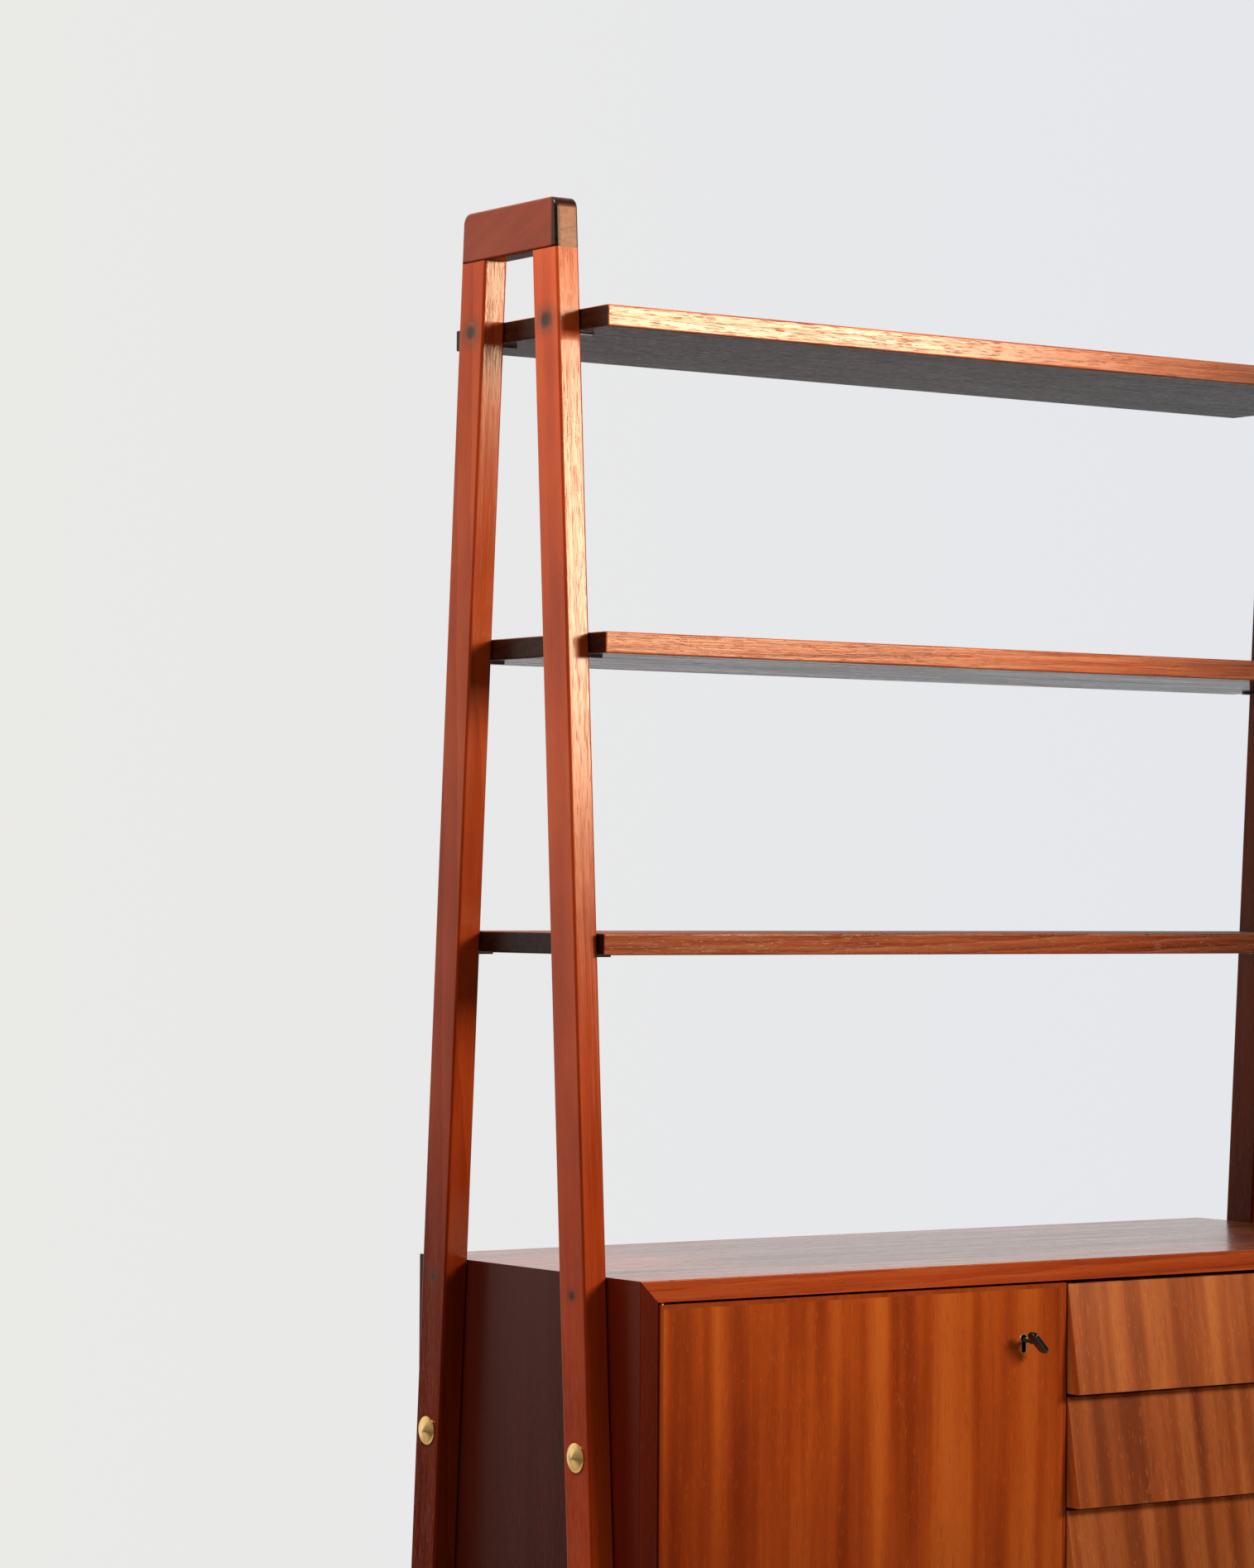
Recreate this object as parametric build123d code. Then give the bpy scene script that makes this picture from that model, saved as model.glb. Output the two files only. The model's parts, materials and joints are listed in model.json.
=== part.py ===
from build123d import *
import math
import os

# Free-standing ladder shelf: two A-shaped ladders hold three open shelves and a cabinet
# with a locking door on the left and a stack of drawers on the right.
# Millimetres. Z = 0 is the floor, X = 0 the middle of the width, Y = 0 the middle of the
# ladders' depth, and -Y is the front.

# overall
totalHeight = 1900.0
totalWidth = 1000.0            # over the ladders' outer faces
boardThickness = 19.0          # shelves and cabinet boards

# ladders
legThickness = 24.0            # along X
legWidth = 39.0                # along Y
ladderTopDepth = 148.0         # over both legs at the top of the cap
legSplay = 0.0595              # each leg moves out this much per unit of height
capHeight = 45.0
capCornerRadius = 10.0
legRound = 2.5                 # rounding of the legs' long edges
glideHeight = 3.0
glideRadius = 9.0
glidePinLength = 15.0
glidePinRadius = 1.5
glideRound = 1.2
capDowelRadius = 4.0
capDowelLength = 50.0
capDowelSpread = 10.0          # half the distance between the two dowels of a joint

# shelves
shelfDepth = 245.0
shelfRound = 1.5
shelfTops = [1801.5, 1516.5, 1254.0]
supportReach = 26.0            # flat tongue under the shelf
supportWidth = 9.0
supportThickness = 2.0
supportPinRadius = 3.0
supportPinLength = 12.0

# joints between ladders, top shelf and cabinet
plugRadius = 9.5
plugLength = 6.0
screwHeadRadius = 5.0
screwHeadLength = 4.0
screwRadius = 2.5
screwEnd = 60.0                # from the leg's outer face to the screw's point
smallDowelRadius = 4.0
smallDowelDrop = 16.0          # below the cabinet's top
smallDowelLength = 34.0
boltDrop = 155.0               # bolts' distance from the cabinet's top and bottom
boltHeadRadius = 12.75
boltHeadHeight = 5.0
boltRimHeight = 1.6
boltTipRadius = 1.4
boltRadius = 4.0
boltLength = 38.0
boltHoleRadius = 4.2
boltWellSpare = 1.0            # empty room past a bolt's end
insertRadius = 6.0
insertLength = 13.0

# cabinet
cabinetTop = 957.0
cabinetHeight = 455.0
cabinetDepth = 354.0
cabinetForward = 4.0           # the cabinet stands this far in front of the middle
edgeRound = 0.8
backThickness = 6.0
backInset = 4.0
cupboardShelfThickness = 16.0
cupboardShelfTop = 735.0
cupboardShelfSetback = 20.0    # behind the door
cupboardShelfBackGap = 3.0
cupboardShelfPlay = 0.5        # at each end
cupboardShelfRound = 1.0
shelfPinRadius = 2.5
shelfPinDepth = 8.0            # in the wood
shelfPinReach = 8.0            # under the shelf
shelfPinFront = 70.0           # from the cabinet's front
shelfPinRear = 50.0            # from the cabinet's back
dividerSetback = 0.5           # behind the back of the drawer fronts

# door
doorThickness = 18.0
doorGap = 2.0                  # above and below
doorSideGap = 1.5
middleGap = 1.0                # half the gap between the door and the drawers
lippingWidth = 4.0
pivotOffset = 5.0              # pivot axis from the door's left edge and from its face
pivotRadius = 2.0
pivotHoleRadius = 2.05
doorCornerRadius = 2.0
pivotPlateLength = 36.0
pivotPlateWidth = 10.0
pivotPlateThickness = 2.0
pivotReach = 7.0               # pin past the door's edge
pivotPlateInset = 1.5          # from the door's left edge and from its face
pivotWellPlay = 0.3
pivotWellSpare = 1.0

# lock and key
keyFromEdge = 50.0             # key axis from the door's right edge
keyDrop = 70.7                 # key axis below the cabinet's top
keyholeRise = 1.2              # the keyhole's round part is centred this far above the axis
keyholeRadius = 3.5
keyholeSlotHalf = 2.5
keyholeHeight = 16.4           # inner height over the round part and the slot
linerWall = 1.1
linerDepth = 8.0
shankRadius = 2.2
shankHoleRadius = 2.25
shankReach = 13.0              # from the door's face to the bow
keyTurn = -47.0                # rest angle of the bow from +X, seen from the front
bowLength = 25.0
bowWidth = 12.0
bowThickness = 4.6
bowCornerRadius = 4.5
bowRound = 1.6
bowSocket = 2.0                # depth of the shank's end inside the bow
collarLength = 2.5
collarWall = 0.8
bowShift = 1.5                 # the bow hangs a little to its bit's side
bitReach = 8.0
bitThickness = 3.0
bitWidth = 3.4
bitPlay = 0.4                  # between the bit and the lock case's front wall
bitSlotPlay = 0.3
bitSlotSpare = 0.5
caseLeft = 24.0                # lock case, from the key axis
caseRight = 37.5
caseDown = 22.0
caseUp = 21.0
caseDepth = 12.0
caseWall = 1.6
caseRound = 2.0
boltBarWidth = 12.0            # height of the sliding bolt
boltBarThickness = 3.6
boltBarBottom = 5.0            # above the key axis
boltBarTail = 10.0             # tail's distance left of the key axis
boltBarPlay = 0.15
boltBarTip = 0.2               # the bolt's end lies this far inside the case's end
boltBarRearPlay = 0.3          # between the bolt and the case's rear wall
strikeThickness = 1.5
strikeWidth = 13.0
strikeHeight = 34.0
strikePocketDepth = 7.0
strikeInset = 1.0              # behind the divider's front edge
strikePlay = 0.8               # around the bolt

# drawers
drawerCount = 4
drawerGap = 3.2
drawerSideGap = 1.0
frontTopThickness = 19.0
frontLean = 17.4               # the lower edge stands this far in front of the upper edge
drawerDepth = 300.0
drawerSideThickness = 11.0
drawerSideHeight = 78.0
drawerSideLift = 8.0
drawerBottomThickness = 5.0
drawerBottomLift = 4.0
drawerBottomGroove = 5.0
drawerPlay = 1.0
runnerThickness = 7.0
runnerHeight = 10.0
runnerLength = 280.0
runnerSetback = 8.0            # behind the back of the drawer fronts
runnerLift = 44.0              # above the front's lower edge
runnerGrooveDepth = 6.5
runnerGrooveHeight = 10.6
runnerRound = 1.5
cutPast = 1.0                  # a cutting tool runs this far past a face

# worked out from the above
legOuterX = totalWidth / 2
legInnerX = legOuterX - legThickness
capBottom = totalHeight - capHeight
cabinetBottom = cabinetTop - cabinetHeight
cabinetFront = -cabinetDepth / 2 - cabinetForward
cabinetRear = cabinetFront + cabinetDepth
innerX = legInnerX - boardThickness
innerTop = cabinetTop - boardThickness
innerBottom = cabinetBottom + boardThickness
backRearY = cabinetRear - backInset
backFrontY = backRearY - backThickness
dividerHalf = boardThickness / 2
doorLeft = -innerX + doorSideGap
doorRight = -middleGap
doorBottom = innerBottom + doorGap
doorTop = innerTop - doorGap
doorBackY = cabinetFront + doorThickness
dividerFrontY = cabinetFront + frontTopThickness + dividerSetback
pivotX = doorLeft + pivotOffset
pivotY = cabinetFront + pivotOffset
keyX = doorRight - keyFromEdge
keyZ = cabinetTop - keyDrop
frontHeight = (innerTop - innerBottom - (drawerCount + 1) * drawerGap) / drawerCount
drawerPitch = frontHeight + drawerGap


def ladderHalf(z):
    """Half of the ladder's depth at a height."""
    return ladderTopDepth / 2 + legSplay * (totalHeight - z)


def legMiddle(z):
    """Distance of a leg's centre line from the middle of the depth."""
    return ladderHalf(z) - legWidth / 2


def box(x0, x1, y0, y1, z0, z1):
    """A block between two corners."""
    middle = ((x0 + x1) / 2, (y0 + y1) / 2, (z0 + z1) / 2)
    return Pos(*middle) * Box(abs(x1 - x0), abs(y1 - y0), abs(z1 - z0))


def rodX(x0, x1, y, z, radius):
    """A round bar along X."""
    return Pos((x0 + x1) / 2, y, z) * Rot(0, 90, 0) * Cylinder(radius, abs(x1 - x0))


def rodY(x, y0, y1, z, radius):
    """A round bar along Y."""
    return Pos(x, (y0 + y1) / 2, z) * Rot(90, 0, 0) * Cylinder(radius, abs(y1 - y0))


def rodZ(x, y, z0, z1, radius):
    """A round bar along Z."""
    return Pos(x, y, (z0 + z1) / 2) * Cylinder(radius, abs(z1 - z0))


def slabX(points, x0, x1):
    """An outline in (Y, Z) given a thickness along X."""
    face = Plane.YZ * make_face(Polyline(*points, close=True))
    return Pos(min(x0, x1), 0, 0) * extrude(face, amount=abs(x1 - x0), dir=(1, 0, 0))


def slabZ(points, z0, z1):
    """An outline in (X, Y) given a height along Z."""
    face = Plane.XY * make_face(Polyline(*points, close=True))
    return Pos(0, 0, min(z0, z1)) * extrude(face, amount=abs(z1 - z0), dir=(0, 0, 1))


def slabY(points, y0, y1):
    """An outline in (X, Z) given a depth along Y."""
    face = Plane.XZ * make_face(Polyline(*points, close=True))
    return Pos(0, min(y0, y1), 0) * extrude(face, amount=abs(y1 - y0), dir=(0, 1, 0))


def solids(shape):
    """All the solids of a shape, as one group."""
    return Compound(children=list(shape.solids()))


def onFace(edge, axis, place):
    """Whether an edge's middle lies on a plane across an axis."""
    return abs(getattr(edge.center(), axis) - place) < 0.01


def group(pieces):
    """Separate solids kept together in one node."""
    return Compound(children=[solid for piece in pieces for solid in piece.solids()])


sides = [-1, 1]


# Fasteners
def bolt(side, y, z):
    """Conical brass bolt through a leg into the cabinet's side."""
    profile = Polyline(
        (0, 0),
        (boltHeadRadius, 0),
        (boltHeadRadius, boltRimHeight),
        (boltTipRadius, boltHeadHeight),
        (0, boltHeadHeight),
        close=True,
    )
    head = revolve(Plane.XZ * make_face(profile), axis=Axis.Z)
    shank = Pos(0, 0, -boltLength / 2) * Cylinder(boltRadius, boltLength)
    return Pos(side * legOuterX, y, z) * Rot(0, 90 * side, 0) * (head + shank)


def boltInsert(side, y, z):
    """Threaded sleeve in the cabinet's side."""
    outer = rodX(side * legInnerX, side * (legInnerX - insertLength), y, z, insertRadius)
    bore = rodX(side * legInnerX, side * (legInnerX - insertLength), y, z, boltRadius)
    return outer - bore


boltHeights = [cabinetBottom + boltDrop, cabinetTop - boltDrop]
boltSpots = [(s, f * legMiddle(z), z) for s in sides for f in sides for z in boltHeights]
dowelZ = cabinetTop - smallDowelDrop
dowelSpots = [(s, f * legMiddle(dowelZ), dowelZ) for s in sides for f in sides]
plugZ = shelfTops[0] - boardThickness / 2
plugSpots = [(s, f * legMiddle(plugZ), plugZ) for s in sides for f in sides]


def shelfBottom(index):
    """Height of a shelf's underside."""
    return shelfTops[index] - boardThickness


supportSpots = []
for index in range(len(shelfTops)):
    spotZ = shelfBottom(index) - supportThickness / 2
    for s in sides:
        for f in sides:
            supportSpots.append((s, f * legMiddle(spotZ), spotZ))


def topScrew(side, y, z):
    """Wood screw through a leg into the top shelf's end."""
    headOuter = legOuterX - plugLength
    headInner = headOuter - screwHeadLength
    head = rodX(side * headOuter, side * headInner, y, z, screwHeadRadius)
    return head + rodX(side * headInner, side * (legOuterX - screwEnd), y, z, screwRadius)


def woodPlug(side, y, z):
    """Round wooden plug that covers a screw."""
    return rodX(side * legOuterX, side * (legOuterX - plugLength), y, z, plugRadius)


def smallDowel(side, y, z):
    """Dowel through a leg into the cabinet's side, flush with the leg's face."""
    return rodX(side * legOuterX, side * (legOuterX - smallDowelLength), y, z, smallDowelRadius)


def shelfSupport(side, y, z):
    """Pin in the leg with a flat round-ended tongue under the shelf."""
    pin = rodX(side * legInnerX, side * (legInnerX + supportPinLength), y, z, supportPinRadius)
    reachX = legInnerX - supportReach + supportWidth / 2
    half = supportThickness / 2
    halfWidth = supportWidth / 2
    tongue = box(side * legInnerX, side * reachX, y - halfWidth, y + halfWidth, z - half, z + half)
    return pin + tongue + rodZ(side * reachX, y, z - half, z + half, halfWidth)


def dowelsOfCap(side):
    """Two dowels in each joint between a cap and its legs."""
    pieces = []
    for face in sides:
        for offset in (-capDowelSpread, capDowelSpread):
            y = face * legMiddle(capBottom) + offset
            z0 = capBottom - capDowelLength / 2
            x = side * (legOuterX - legThickness / 2)
            pieces.append(rodZ(x, y, z0, z0 + capDowelLength, capDowelRadius))
    return pieces


capDowels = [piece for s in sides for piece in dowelsOfCap(s)]
supports = [shelfSupport(*spot) for spot in supportSpots]
plugs = [woodPlug(*spot) for spot in plugSpots]
topScrews = [topScrew(*spot) for spot in plugSpots]
smallDowels = [smallDowel(*spot) for spot in dowelSpots]


def glide(side, face):
    """Nail-on foot glide."""
    x = side * (legOuterX - legThickness / 2)
    y = face * legMiddle(0)
    disc = rodZ(x, y, 0, glideHeight, glideRadius)
    disc = fillet(disc.edges().sort_by(Axis.Z)[:1], glideRound)
    return disc + rodZ(x, y, glideHeight, glideHeight + glidePinLength, glidePinRadius)


glides = [glide(s, f) for s in sides for f in sides]


# Ladders
def legBody(side, face):
    """A straight splayed leg, cut level at the floor and under the cap."""
    low = ladderHalf(glideHeight)
    high = ladderHalf(capBottom)
    outline = [
        (face * low, glideHeight),
        (face * high, capBottom),
        (face * (high - legWidth), capBottom),
        (face * (low - legWidth), glideHeight),
    ]
    leg = slabX(outline, side * legInnerX, side * legOuterX)
    longEdges = leg.edges().sort_by(SortBy.LENGTH)[-4:]
    return fillet(longEdges, legRound)


def leg(side, face):
    """A leg with the holes for everything that is fixed to it."""
    shape = legBody(side, face)
    tools = capDowels + glides + plugs + topScrews + smallDowels + supports
    for s, y, z in boltSpots:
        tools.append(rodX(s * (legInnerX - cutPast), s * (legOuterX + cutPast), y, z, boltHoleRadius))
    for tool in tools:
        middle = tool.bounding_box().center()
        if middle.X * side > 0 and middle.Y * face > 0:
            shape = shape - tool
    return solids(shape)


def cap(side):
    """The piece that joins the two legs of a ladder at the top."""
    low = ladderHalf(capBottom)
    high = ladderHalf(totalHeight)
    outline = [(-low, capBottom), (-high, totalHeight), (high, totalHeight), (low, capBottom)]
    shape = slabX(outline, side * legInnerX, side * legOuterX)
    corners = shape.edges().filter_by(Axis.X).group_by(Axis.Z)[-1]
    shape = fillet(corners, capCornerRadius)
    outerRims = shape.edges().filter_by(lambda e: onFace(e, "X", side * legOuterX))
    innerRims = shape.edges().filter_by(lambda e: onFace(e, "X", side * legInnerX))
    shape = fillet(outerRims + innerRims, legRound)
    for tool in dowelsOfCap(side):
        shape = shape - tool
    return solids(shape)


# Shelves
def shelf(index):
    """A board between the ladders, its ends against the legs."""
    top = shelfTops[index]
    half = shelfDepth / 2
    board = box(-legInnerX, legInnerX, -half, half, top - boardThickness, top)
    board = fillet(board.edges(), shelfRound)
    if index == 0:
        for screw in topScrews:
            board = board - screw
    return solids(board)


# Cabinet
def carcassBoards():
    """Top, bottom and two sides, mitred at the corners."""
    w = legInnerX
    t = boardThickness
    lowZ = cabinetBottom
    highZ = cabinetTop
    outlines = {
        "cabinet_top": [(-w, highZ), (w, highZ), (w - t, highZ - t), (-w + t, highZ - t)],
        "cabinet_bottom": [(-w, lowZ), (w, lowZ), (w - t, lowZ + t), (-w + t, lowZ + t)],
        "cabinet_left_side": [(-w, lowZ), (-w, highZ), (-w + t, highZ - t), (-w + t, lowZ + t)],
        "cabinet_right_side": [(w, lowZ), (w, highZ), (w - t, highZ - t), (w - t, lowZ + t)],
    }
    boards = {}
    for name, outline in outlines.items():
        boards[name] = slabY(outline, cabinetFront, cabinetRear)
    return boards


def pivotPlate(end, inDoor):
    """Pivot hinge plate in the door's edge, or its socket plate in the cabinet."""
    doorEdge = doorTop if end > 0 else doorBottom
    face = doorEdge if inDoor else doorEdge + end * doorGap
    depth = -end * pivotPlateThickness if inDoor else end * pivotPlateThickness
    left = doorLeft + pivotPlateInset
    y0 = cabinetFront + pivotPlateInset
    plate = box(left, left + pivotPlateLength, y0, y0 + pivotPlateWidth, face, face + depth)
    if inDoor:
        root = doorEdge - end * pivotPlateThickness
        return plate + rodZ(pivotX, pivotY, root, doorEdge + end * pivotReach, pivotRadius)
    through = face + end * (pivotPlateThickness + cutPast)
    return plate - rodZ(pivotX, pivotY, face - end, through, pivotHoleRadius)


doorPlates = [pivotPlate(end, True) for end in sides]
socketPlates = [pivotPlate(end, False) for end in sides]


def pivotWell(end):
    """Room in the cabinet's board for the end of a pivot pin."""
    start = (doorTop if end > 0 else doorBottom) + end * doorGap
    depth = pivotReach - doorGap + pivotWellSpare
    return rodZ(pivotX, pivotY, start, start + end * depth, pivotHoleRadius + pivotWellPlay)


def cupboardPins():
    """Pins that carry the shelf behind the door."""
    z = cupboardShelfTop - cupboardShelfThickness - shelfPinRadius
    pieces = []
    for wallX, outward in ((-innerX, -1), (-dividerHalf, 1)):
        for y in (cabinetFront + shelfPinFront, backFrontY - shelfPinRear):
            x0 = wallX + outward * shelfPinDepth
            pieces.append(rodX(x0, wallX - outward * shelfPinReach, y, z, shelfPinRadius))
    return pieces


shelfPins = cupboardPins()


def lockBolt():
    """Sliding bolt of the lock."""
    x1 = keyX + caseRight - boltBarTip
    x0 = keyX - boltBarTail
    z0 = keyZ + boltBarBottom
    y1 = doorBackY + caseDepth - caseWall - boltBarRearPlay
    return box(x0, x1, y1 - boltBarThickness, y1, z0, z0 + boltBarWidth)


def boltPassage(x0, x1, play):
    """Room around the lock's bolt between two planes."""
    bar = lockBolt().bounding_box()
    return box(x0, x1, bar.min.Y - play, bar.max.Y + play, bar.min.Z - play, bar.max.Z + play)


def strikePlate(hollow=True):
    """Plate let into the divider where the lock's bolt enters."""
    middleZ = lockBolt().bounding_box().center().Z
    y0 = dividerFrontY + strikeInset
    z0 = middleZ - strikeHeight / 2
    x0 = -dividerHalf
    x1 = x0 + strikeThickness
    plate = box(x0, x1, y0, y0 + strikeWidth, z0, z0 + strikeHeight)
    if hollow:
        plate = plate - boltPassage(x0 - cutPast, x1 + cutPast, strikePlay)
    return plate


def cabinetBoards():
    """The mitred boards with all their holes and rounded outer edges."""
    boards = carcassBoards()
    tools = smallDowels + shelfPins
    insertEnd = legInnerX - insertLength
    boltWellEnd = legOuterX - boltLength - boltWellSpare
    for s, y, z in boltSpots:
        tools.append(rodX(s * legInnerX, s * insertEnd, y, z, insertRadius))
        tools.append(rodX(s * insertEnd, s * boltWellEnd, y, z, boltRadius))
    tools += [pivotWell(end) for end in sides]
    tools += [pivotSocketRoom(end) for end in sides]
    result = {}
    for name, board in boards.items():
        outer = outerEdges(board, name)
        board = fillet(outer, edgeRound)
        for tool in tools:
            board = board - tool
        result[name] = solids(board)
    return result


def pivotSocketRoom(end):
    """Recess for a socket plate."""
    plate = socketPlates[sides.index(end)].bounding_box()
    return box(plate.min.X, plate.max.X, plate.min.Y, plate.max.Y, plate.min.Z, plate.max.Z)


def outerEdges(board, name):
    """Long edges of a cabinet board along its front and rear, away from the mitres."""
    along = Axis.X if name in ("cabinet_top", "cabinet_bottom") else Axis.Z
    return board.edges().filter_by(along)


def divider():
    """Upright board between the cupboard and the drawers."""
    board = box(-dividerHalf, dividerHalf, dividerFrontY, backFrontY, innerBottom, innerTop)
    for pin in shelfPins:
        board = board - pin
    board = board - strikePlate(False)
    board = board - boltPassage(-dividerHalf, -dividerHalf + strikePocketDepth, strikePlay)
    return solids(board)


def cupboardShelf():
    """Loose shelf behind the door."""
    board = box(
        -innerX + cupboardShelfPlay, -dividerHalf - cupboardShelfPlay,
        doorBackY + cupboardShelfSetback, backFrontY - cupboardShelfBackGap,
        cupboardShelfTop - cupboardShelfThickness, cupboardShelfTop,
    )
    return solids(fillet(board.edges().filter_by(Axis.X), cupboardShelfRound))


# Door
def keyholeFace(extra):
    """Outline of the keyhole, round above and with a slot below, grown by a wall."""
    centreZ = keyZ + keyholeRise
    low = centreZ + keyholeRadius - keyholeHeight - extra
    half = keyholeSlotHalf + extra
    ring = Pos(keyX, centreZ) * Circle(keyholeRadius + extra)
    slotLow = low + half
    slot = Pos(keyX, (centreZ + slotLow) / 2) * Rectangle(2 * half, centreZ - slotLow)
    return ring + slot + Pos(keyX, slotLow) * Circle(half)


def keyholePrism(extra, y0, y1):
    """The keyhole's outline given a depth along Y."""
    flat = extrude(keyholeFace(extra), amount=y1 - y0)
    return Pos(0, y1, 0) * Rot(90, 0, 0) * flat


def doorPanel():
    """Veneered board inside the lippings, with the keyhole and the pivots' recesses."""
    w = lippingWidth
    panel = box(doorLeft + w, doorRight - w, cabinetFront, doorBackY, doorBottom + w, doorTop - w)
    return solids(panel - keyholePrism(linerWall, cabinetFront, doorBackY))


def doorLippings():
    """Four solid strips around the panel."""
    w = lippingWidth
    y0 = cabinetFront
    y1 = doorBackY
    strips = [
        box(doorLeft, doorRight, y0, y1, doorBottom, doorBottom + w),
        box(doorLeft, doorRight, y0, y1, doorTop - w, doorTop),
        box(doorLeft, doorLeft + w, y0, y1, doorBottom + w, doorTop - w),
        box(doorRight - w, doorRight, y0, y1, doorBottom + w, doorTop - w),
    ]
    shaped = []
    for strip in strips:
        corner = strip.edges().filter_by(Axis.Z)
        corner = corner.filter_by(lambda e: onFace(e, "X", doorLeft) and onFace(e, "Y", y0))
        if corner:
            strip = fillet(corner, doorCornerRadius)
        for plate in doorPlates:
            strip = strip - plate
        shaped.append(strip)
    return group(shaped)


def keyholeLiner():
    """Thin brass liner of the keyhole."""
    outer = keyholePrism(linerWall, cabinetFront, cabinetFront + linerDepth)
    return solids(outer - keyholePrism(0, cabinetFront - cutPast, cabinetFront + linerDepth + cutPast))


def lockCase():
    """Hollow lock case on the door's inner face."""
    x0 = keyX - caseLeft
    x1 = keyX + caseRight
    y0 = doorBackY
    y1 = doorBackY + caseDepth
    z0 = keyZ - caseDown
    z1 = keyZ + caseUp
    w = caseWall
    case = box(x0, x1, y0, y1, z0, z1)
    case = fillet(case.edges().filter_by(Axis.Y), caseRound)
    case = case - box(x0 + w, x1 - w, y0 + w, y1 - w, z0 + w, z1 - w)
    before = y0 - cutPast
    past = y0 + w + cutPast
    case = case - rodY(keyX, before, past, keyZ, shankHoleRadius)
    half = bitThickness / 2 + bitSlotPlay
    case = case - box(keyX - half, keyX + half, before, past, keyZ - bitReach - bitSlotSpare, keyZ)
    return solids(case - boltPassage(x1 - w - cutPast, x1 + cutPast, boltBarPlay))


def turned(piece):
    """Turn a piece that is drawn along +X about the key's axis to the key's rest angle."""
    return Pos(keyX, 0, keyZ) * Rot(0, -keyTurn, 0) * piece


def keyShank():
    """Round shank with its bit."""
    tipY = doorBackY + caseWall + bitPlay + bitWidth
    bowY = cabinetFront - shankReach
    shank = rodY(0, bowY - bowSocket, tipY, 0, shankRadius)
    collar = rodY(0, bowY, bowY + collarLength, 0, shankRadius + collarWall)
    bit = box(0, bitReach, tipY - bitWidth, tipY, -bitThickness / 2, bitThickness / 2)
    return solids(turned(shank + collar + bit))


def keyBow():
    """Flat bow of the key."""
    y1 = cabinetFront - shankReach
    x0 = -bowLength / 2 + bowShift
    bow = box(x0, x0 + bowLength, y1 - bowWidth, y1, -bowThickness / 2, bowThickness / 2)
    bow = fillet(bow.edges().filter_by(Axis.Z), bowCornerRadius)
    bow = fillet(bow.edges().filter_by(Axis.Z, reverse=True), bowRound)
    bow = bow - rodY(0, y1 - bowSocket, y1 + cutPast, 0, shankRadius)
    return solids(turned(bow))


# Drawers
def drawerLow(index):
    """Height of a drawer front's lower edge."""
    return innerTop - drawerGap - frontHeight - index * drawerPitch


drawerX0 = dividerHalf + drawerPlay
drawerX1 = innerX - drawerPlay
drawerBackOfFront = cabinetFront + frontTopThickness
drawerRear = drawerBackOfFront + drawerDepth


def bottomPanel(index):
    """Plywood bottom, let into grooves."""
    z0 = drawerLow(index) + drawerSideLift + drawerBottomLift
    g = drawerBottomGroove
    t = drawerSideThickness
    return box(
        drawerX0 + t - g, drawerX1 - t + g,
        drawerBackOfFront - g, drawerRear - t + g,
        z0, z0 + drawerBottomThickness,
    )


def runnerMiddle(index):
    """Height of a drawer's runners."""
    return drawerLow(index) + runnerLift


def drawerFront(index):
    """Wedge front: flush above, standing proud below to be pulled by its lower edge."""
    low = drawerLow(index)
    high = low + frontHeight
    outline = [
        (cabinetFront, high),
        (cabinetFront - frontLean, low),
        (drawerBackOfFront, low),
        (drawerBackOfFront, high),
    ]
    front = slabX(outline, middleGap, innerX - drawerSideGap)
    leaningFace = front.faces().sort_by(Axis.Y)[0]
    front = fillet(leaningFace.edges(), edgeRound)
    return solids(front - bottomPanel(index))


def drawerSide(index, side):
    """Drawer side with grooves for the bottom and for the runner."""
    z0 = drawerLow(index) + drawerSideLift
    x0 = drawerX0 if side < 0 else drawerX1 - drawerSideThickness
    board = box(x0, x0 + drawerSideThickness, drawerBackOfFront, drawerRear, z0, z0 + drawerSideHeight)
    outer = drawerX0 if side < 0 else drawerX1
    half = runnerGrooveHeight / 2
    middle = runnerMiddle(index)
    groove = box(
        outer, outer - side * runnerGrooveDepth,
        drawerBackOfFront, drawerRear,
        middle - half, middle + half,
    )
    return solids(board - groove - bottomPanel(index))


def drawerBack(index):
    """Rear board of a drawer."""
    z0 = drawerLow(index) + drawerSideLift
    t = drawerSideThickness
    board = box(drawerX0 + t, drawerX1 - t, drawerRear - t, drawerRear, z0, z0 + drawerSideHeight)
    return solids(board - bottomPanel(index))


def runners(side):
    """Hardwood strips that carry the drawers on one side."""
    pieces = []
    for index in range(drawerCount):
        wall = dividerHalf if side < 0 else innerX
        middle = runnerMiddle(index)
        half = runnerHeight / 2
        y0 = drawerBackOfFront + runnerSetback
        y1 = y0 + runnerLength
        strip = box(wall, wall - side * runnerThickness, y0, y1, middle - half, middle + half)
        pieces.append(fillet(strip.edges().filter_by(Axis.Z).sort_by(Axis.Y)[:2], runnerRound))
    return group(pieces)


# All the nodes
nodes = {}
for s, sideName in ((-1, "left"), (1, "right")):
    nodes["ladder_" + sideName + "_front_leg"] = leg(s, -1)
    nodes["ladder_" + sideName + "_rear_leg"] = leg(s, 1)
    nodes["ladder_" + sideName + "_cap"] = cap(s)
nodes["cap_dowels"] = group(capDowels)
nodes["foot_glides"] = group(glides)
for index, shelfName in enumerate(("top_shelf", "middle_shelf", "lower_shelf")):
    nodes[shelfName] = shelf(index)
nodes["shelf_supports"] = group(supports)
nodes["top_shelf_screws"] = group(topScrews)
nodes["wood_plugs"] = group(plugs)
nodes["cabinet_dowels"] = group(smallDowels)
nodes["cabinet_bolts"] = group([bolt(*spot) for spot in boltSpots])
nodes["bolt_inserts"] = group([boltInsert(*spot) for spot in boltSpots])
nodes.update(cabinetBoards())
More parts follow.
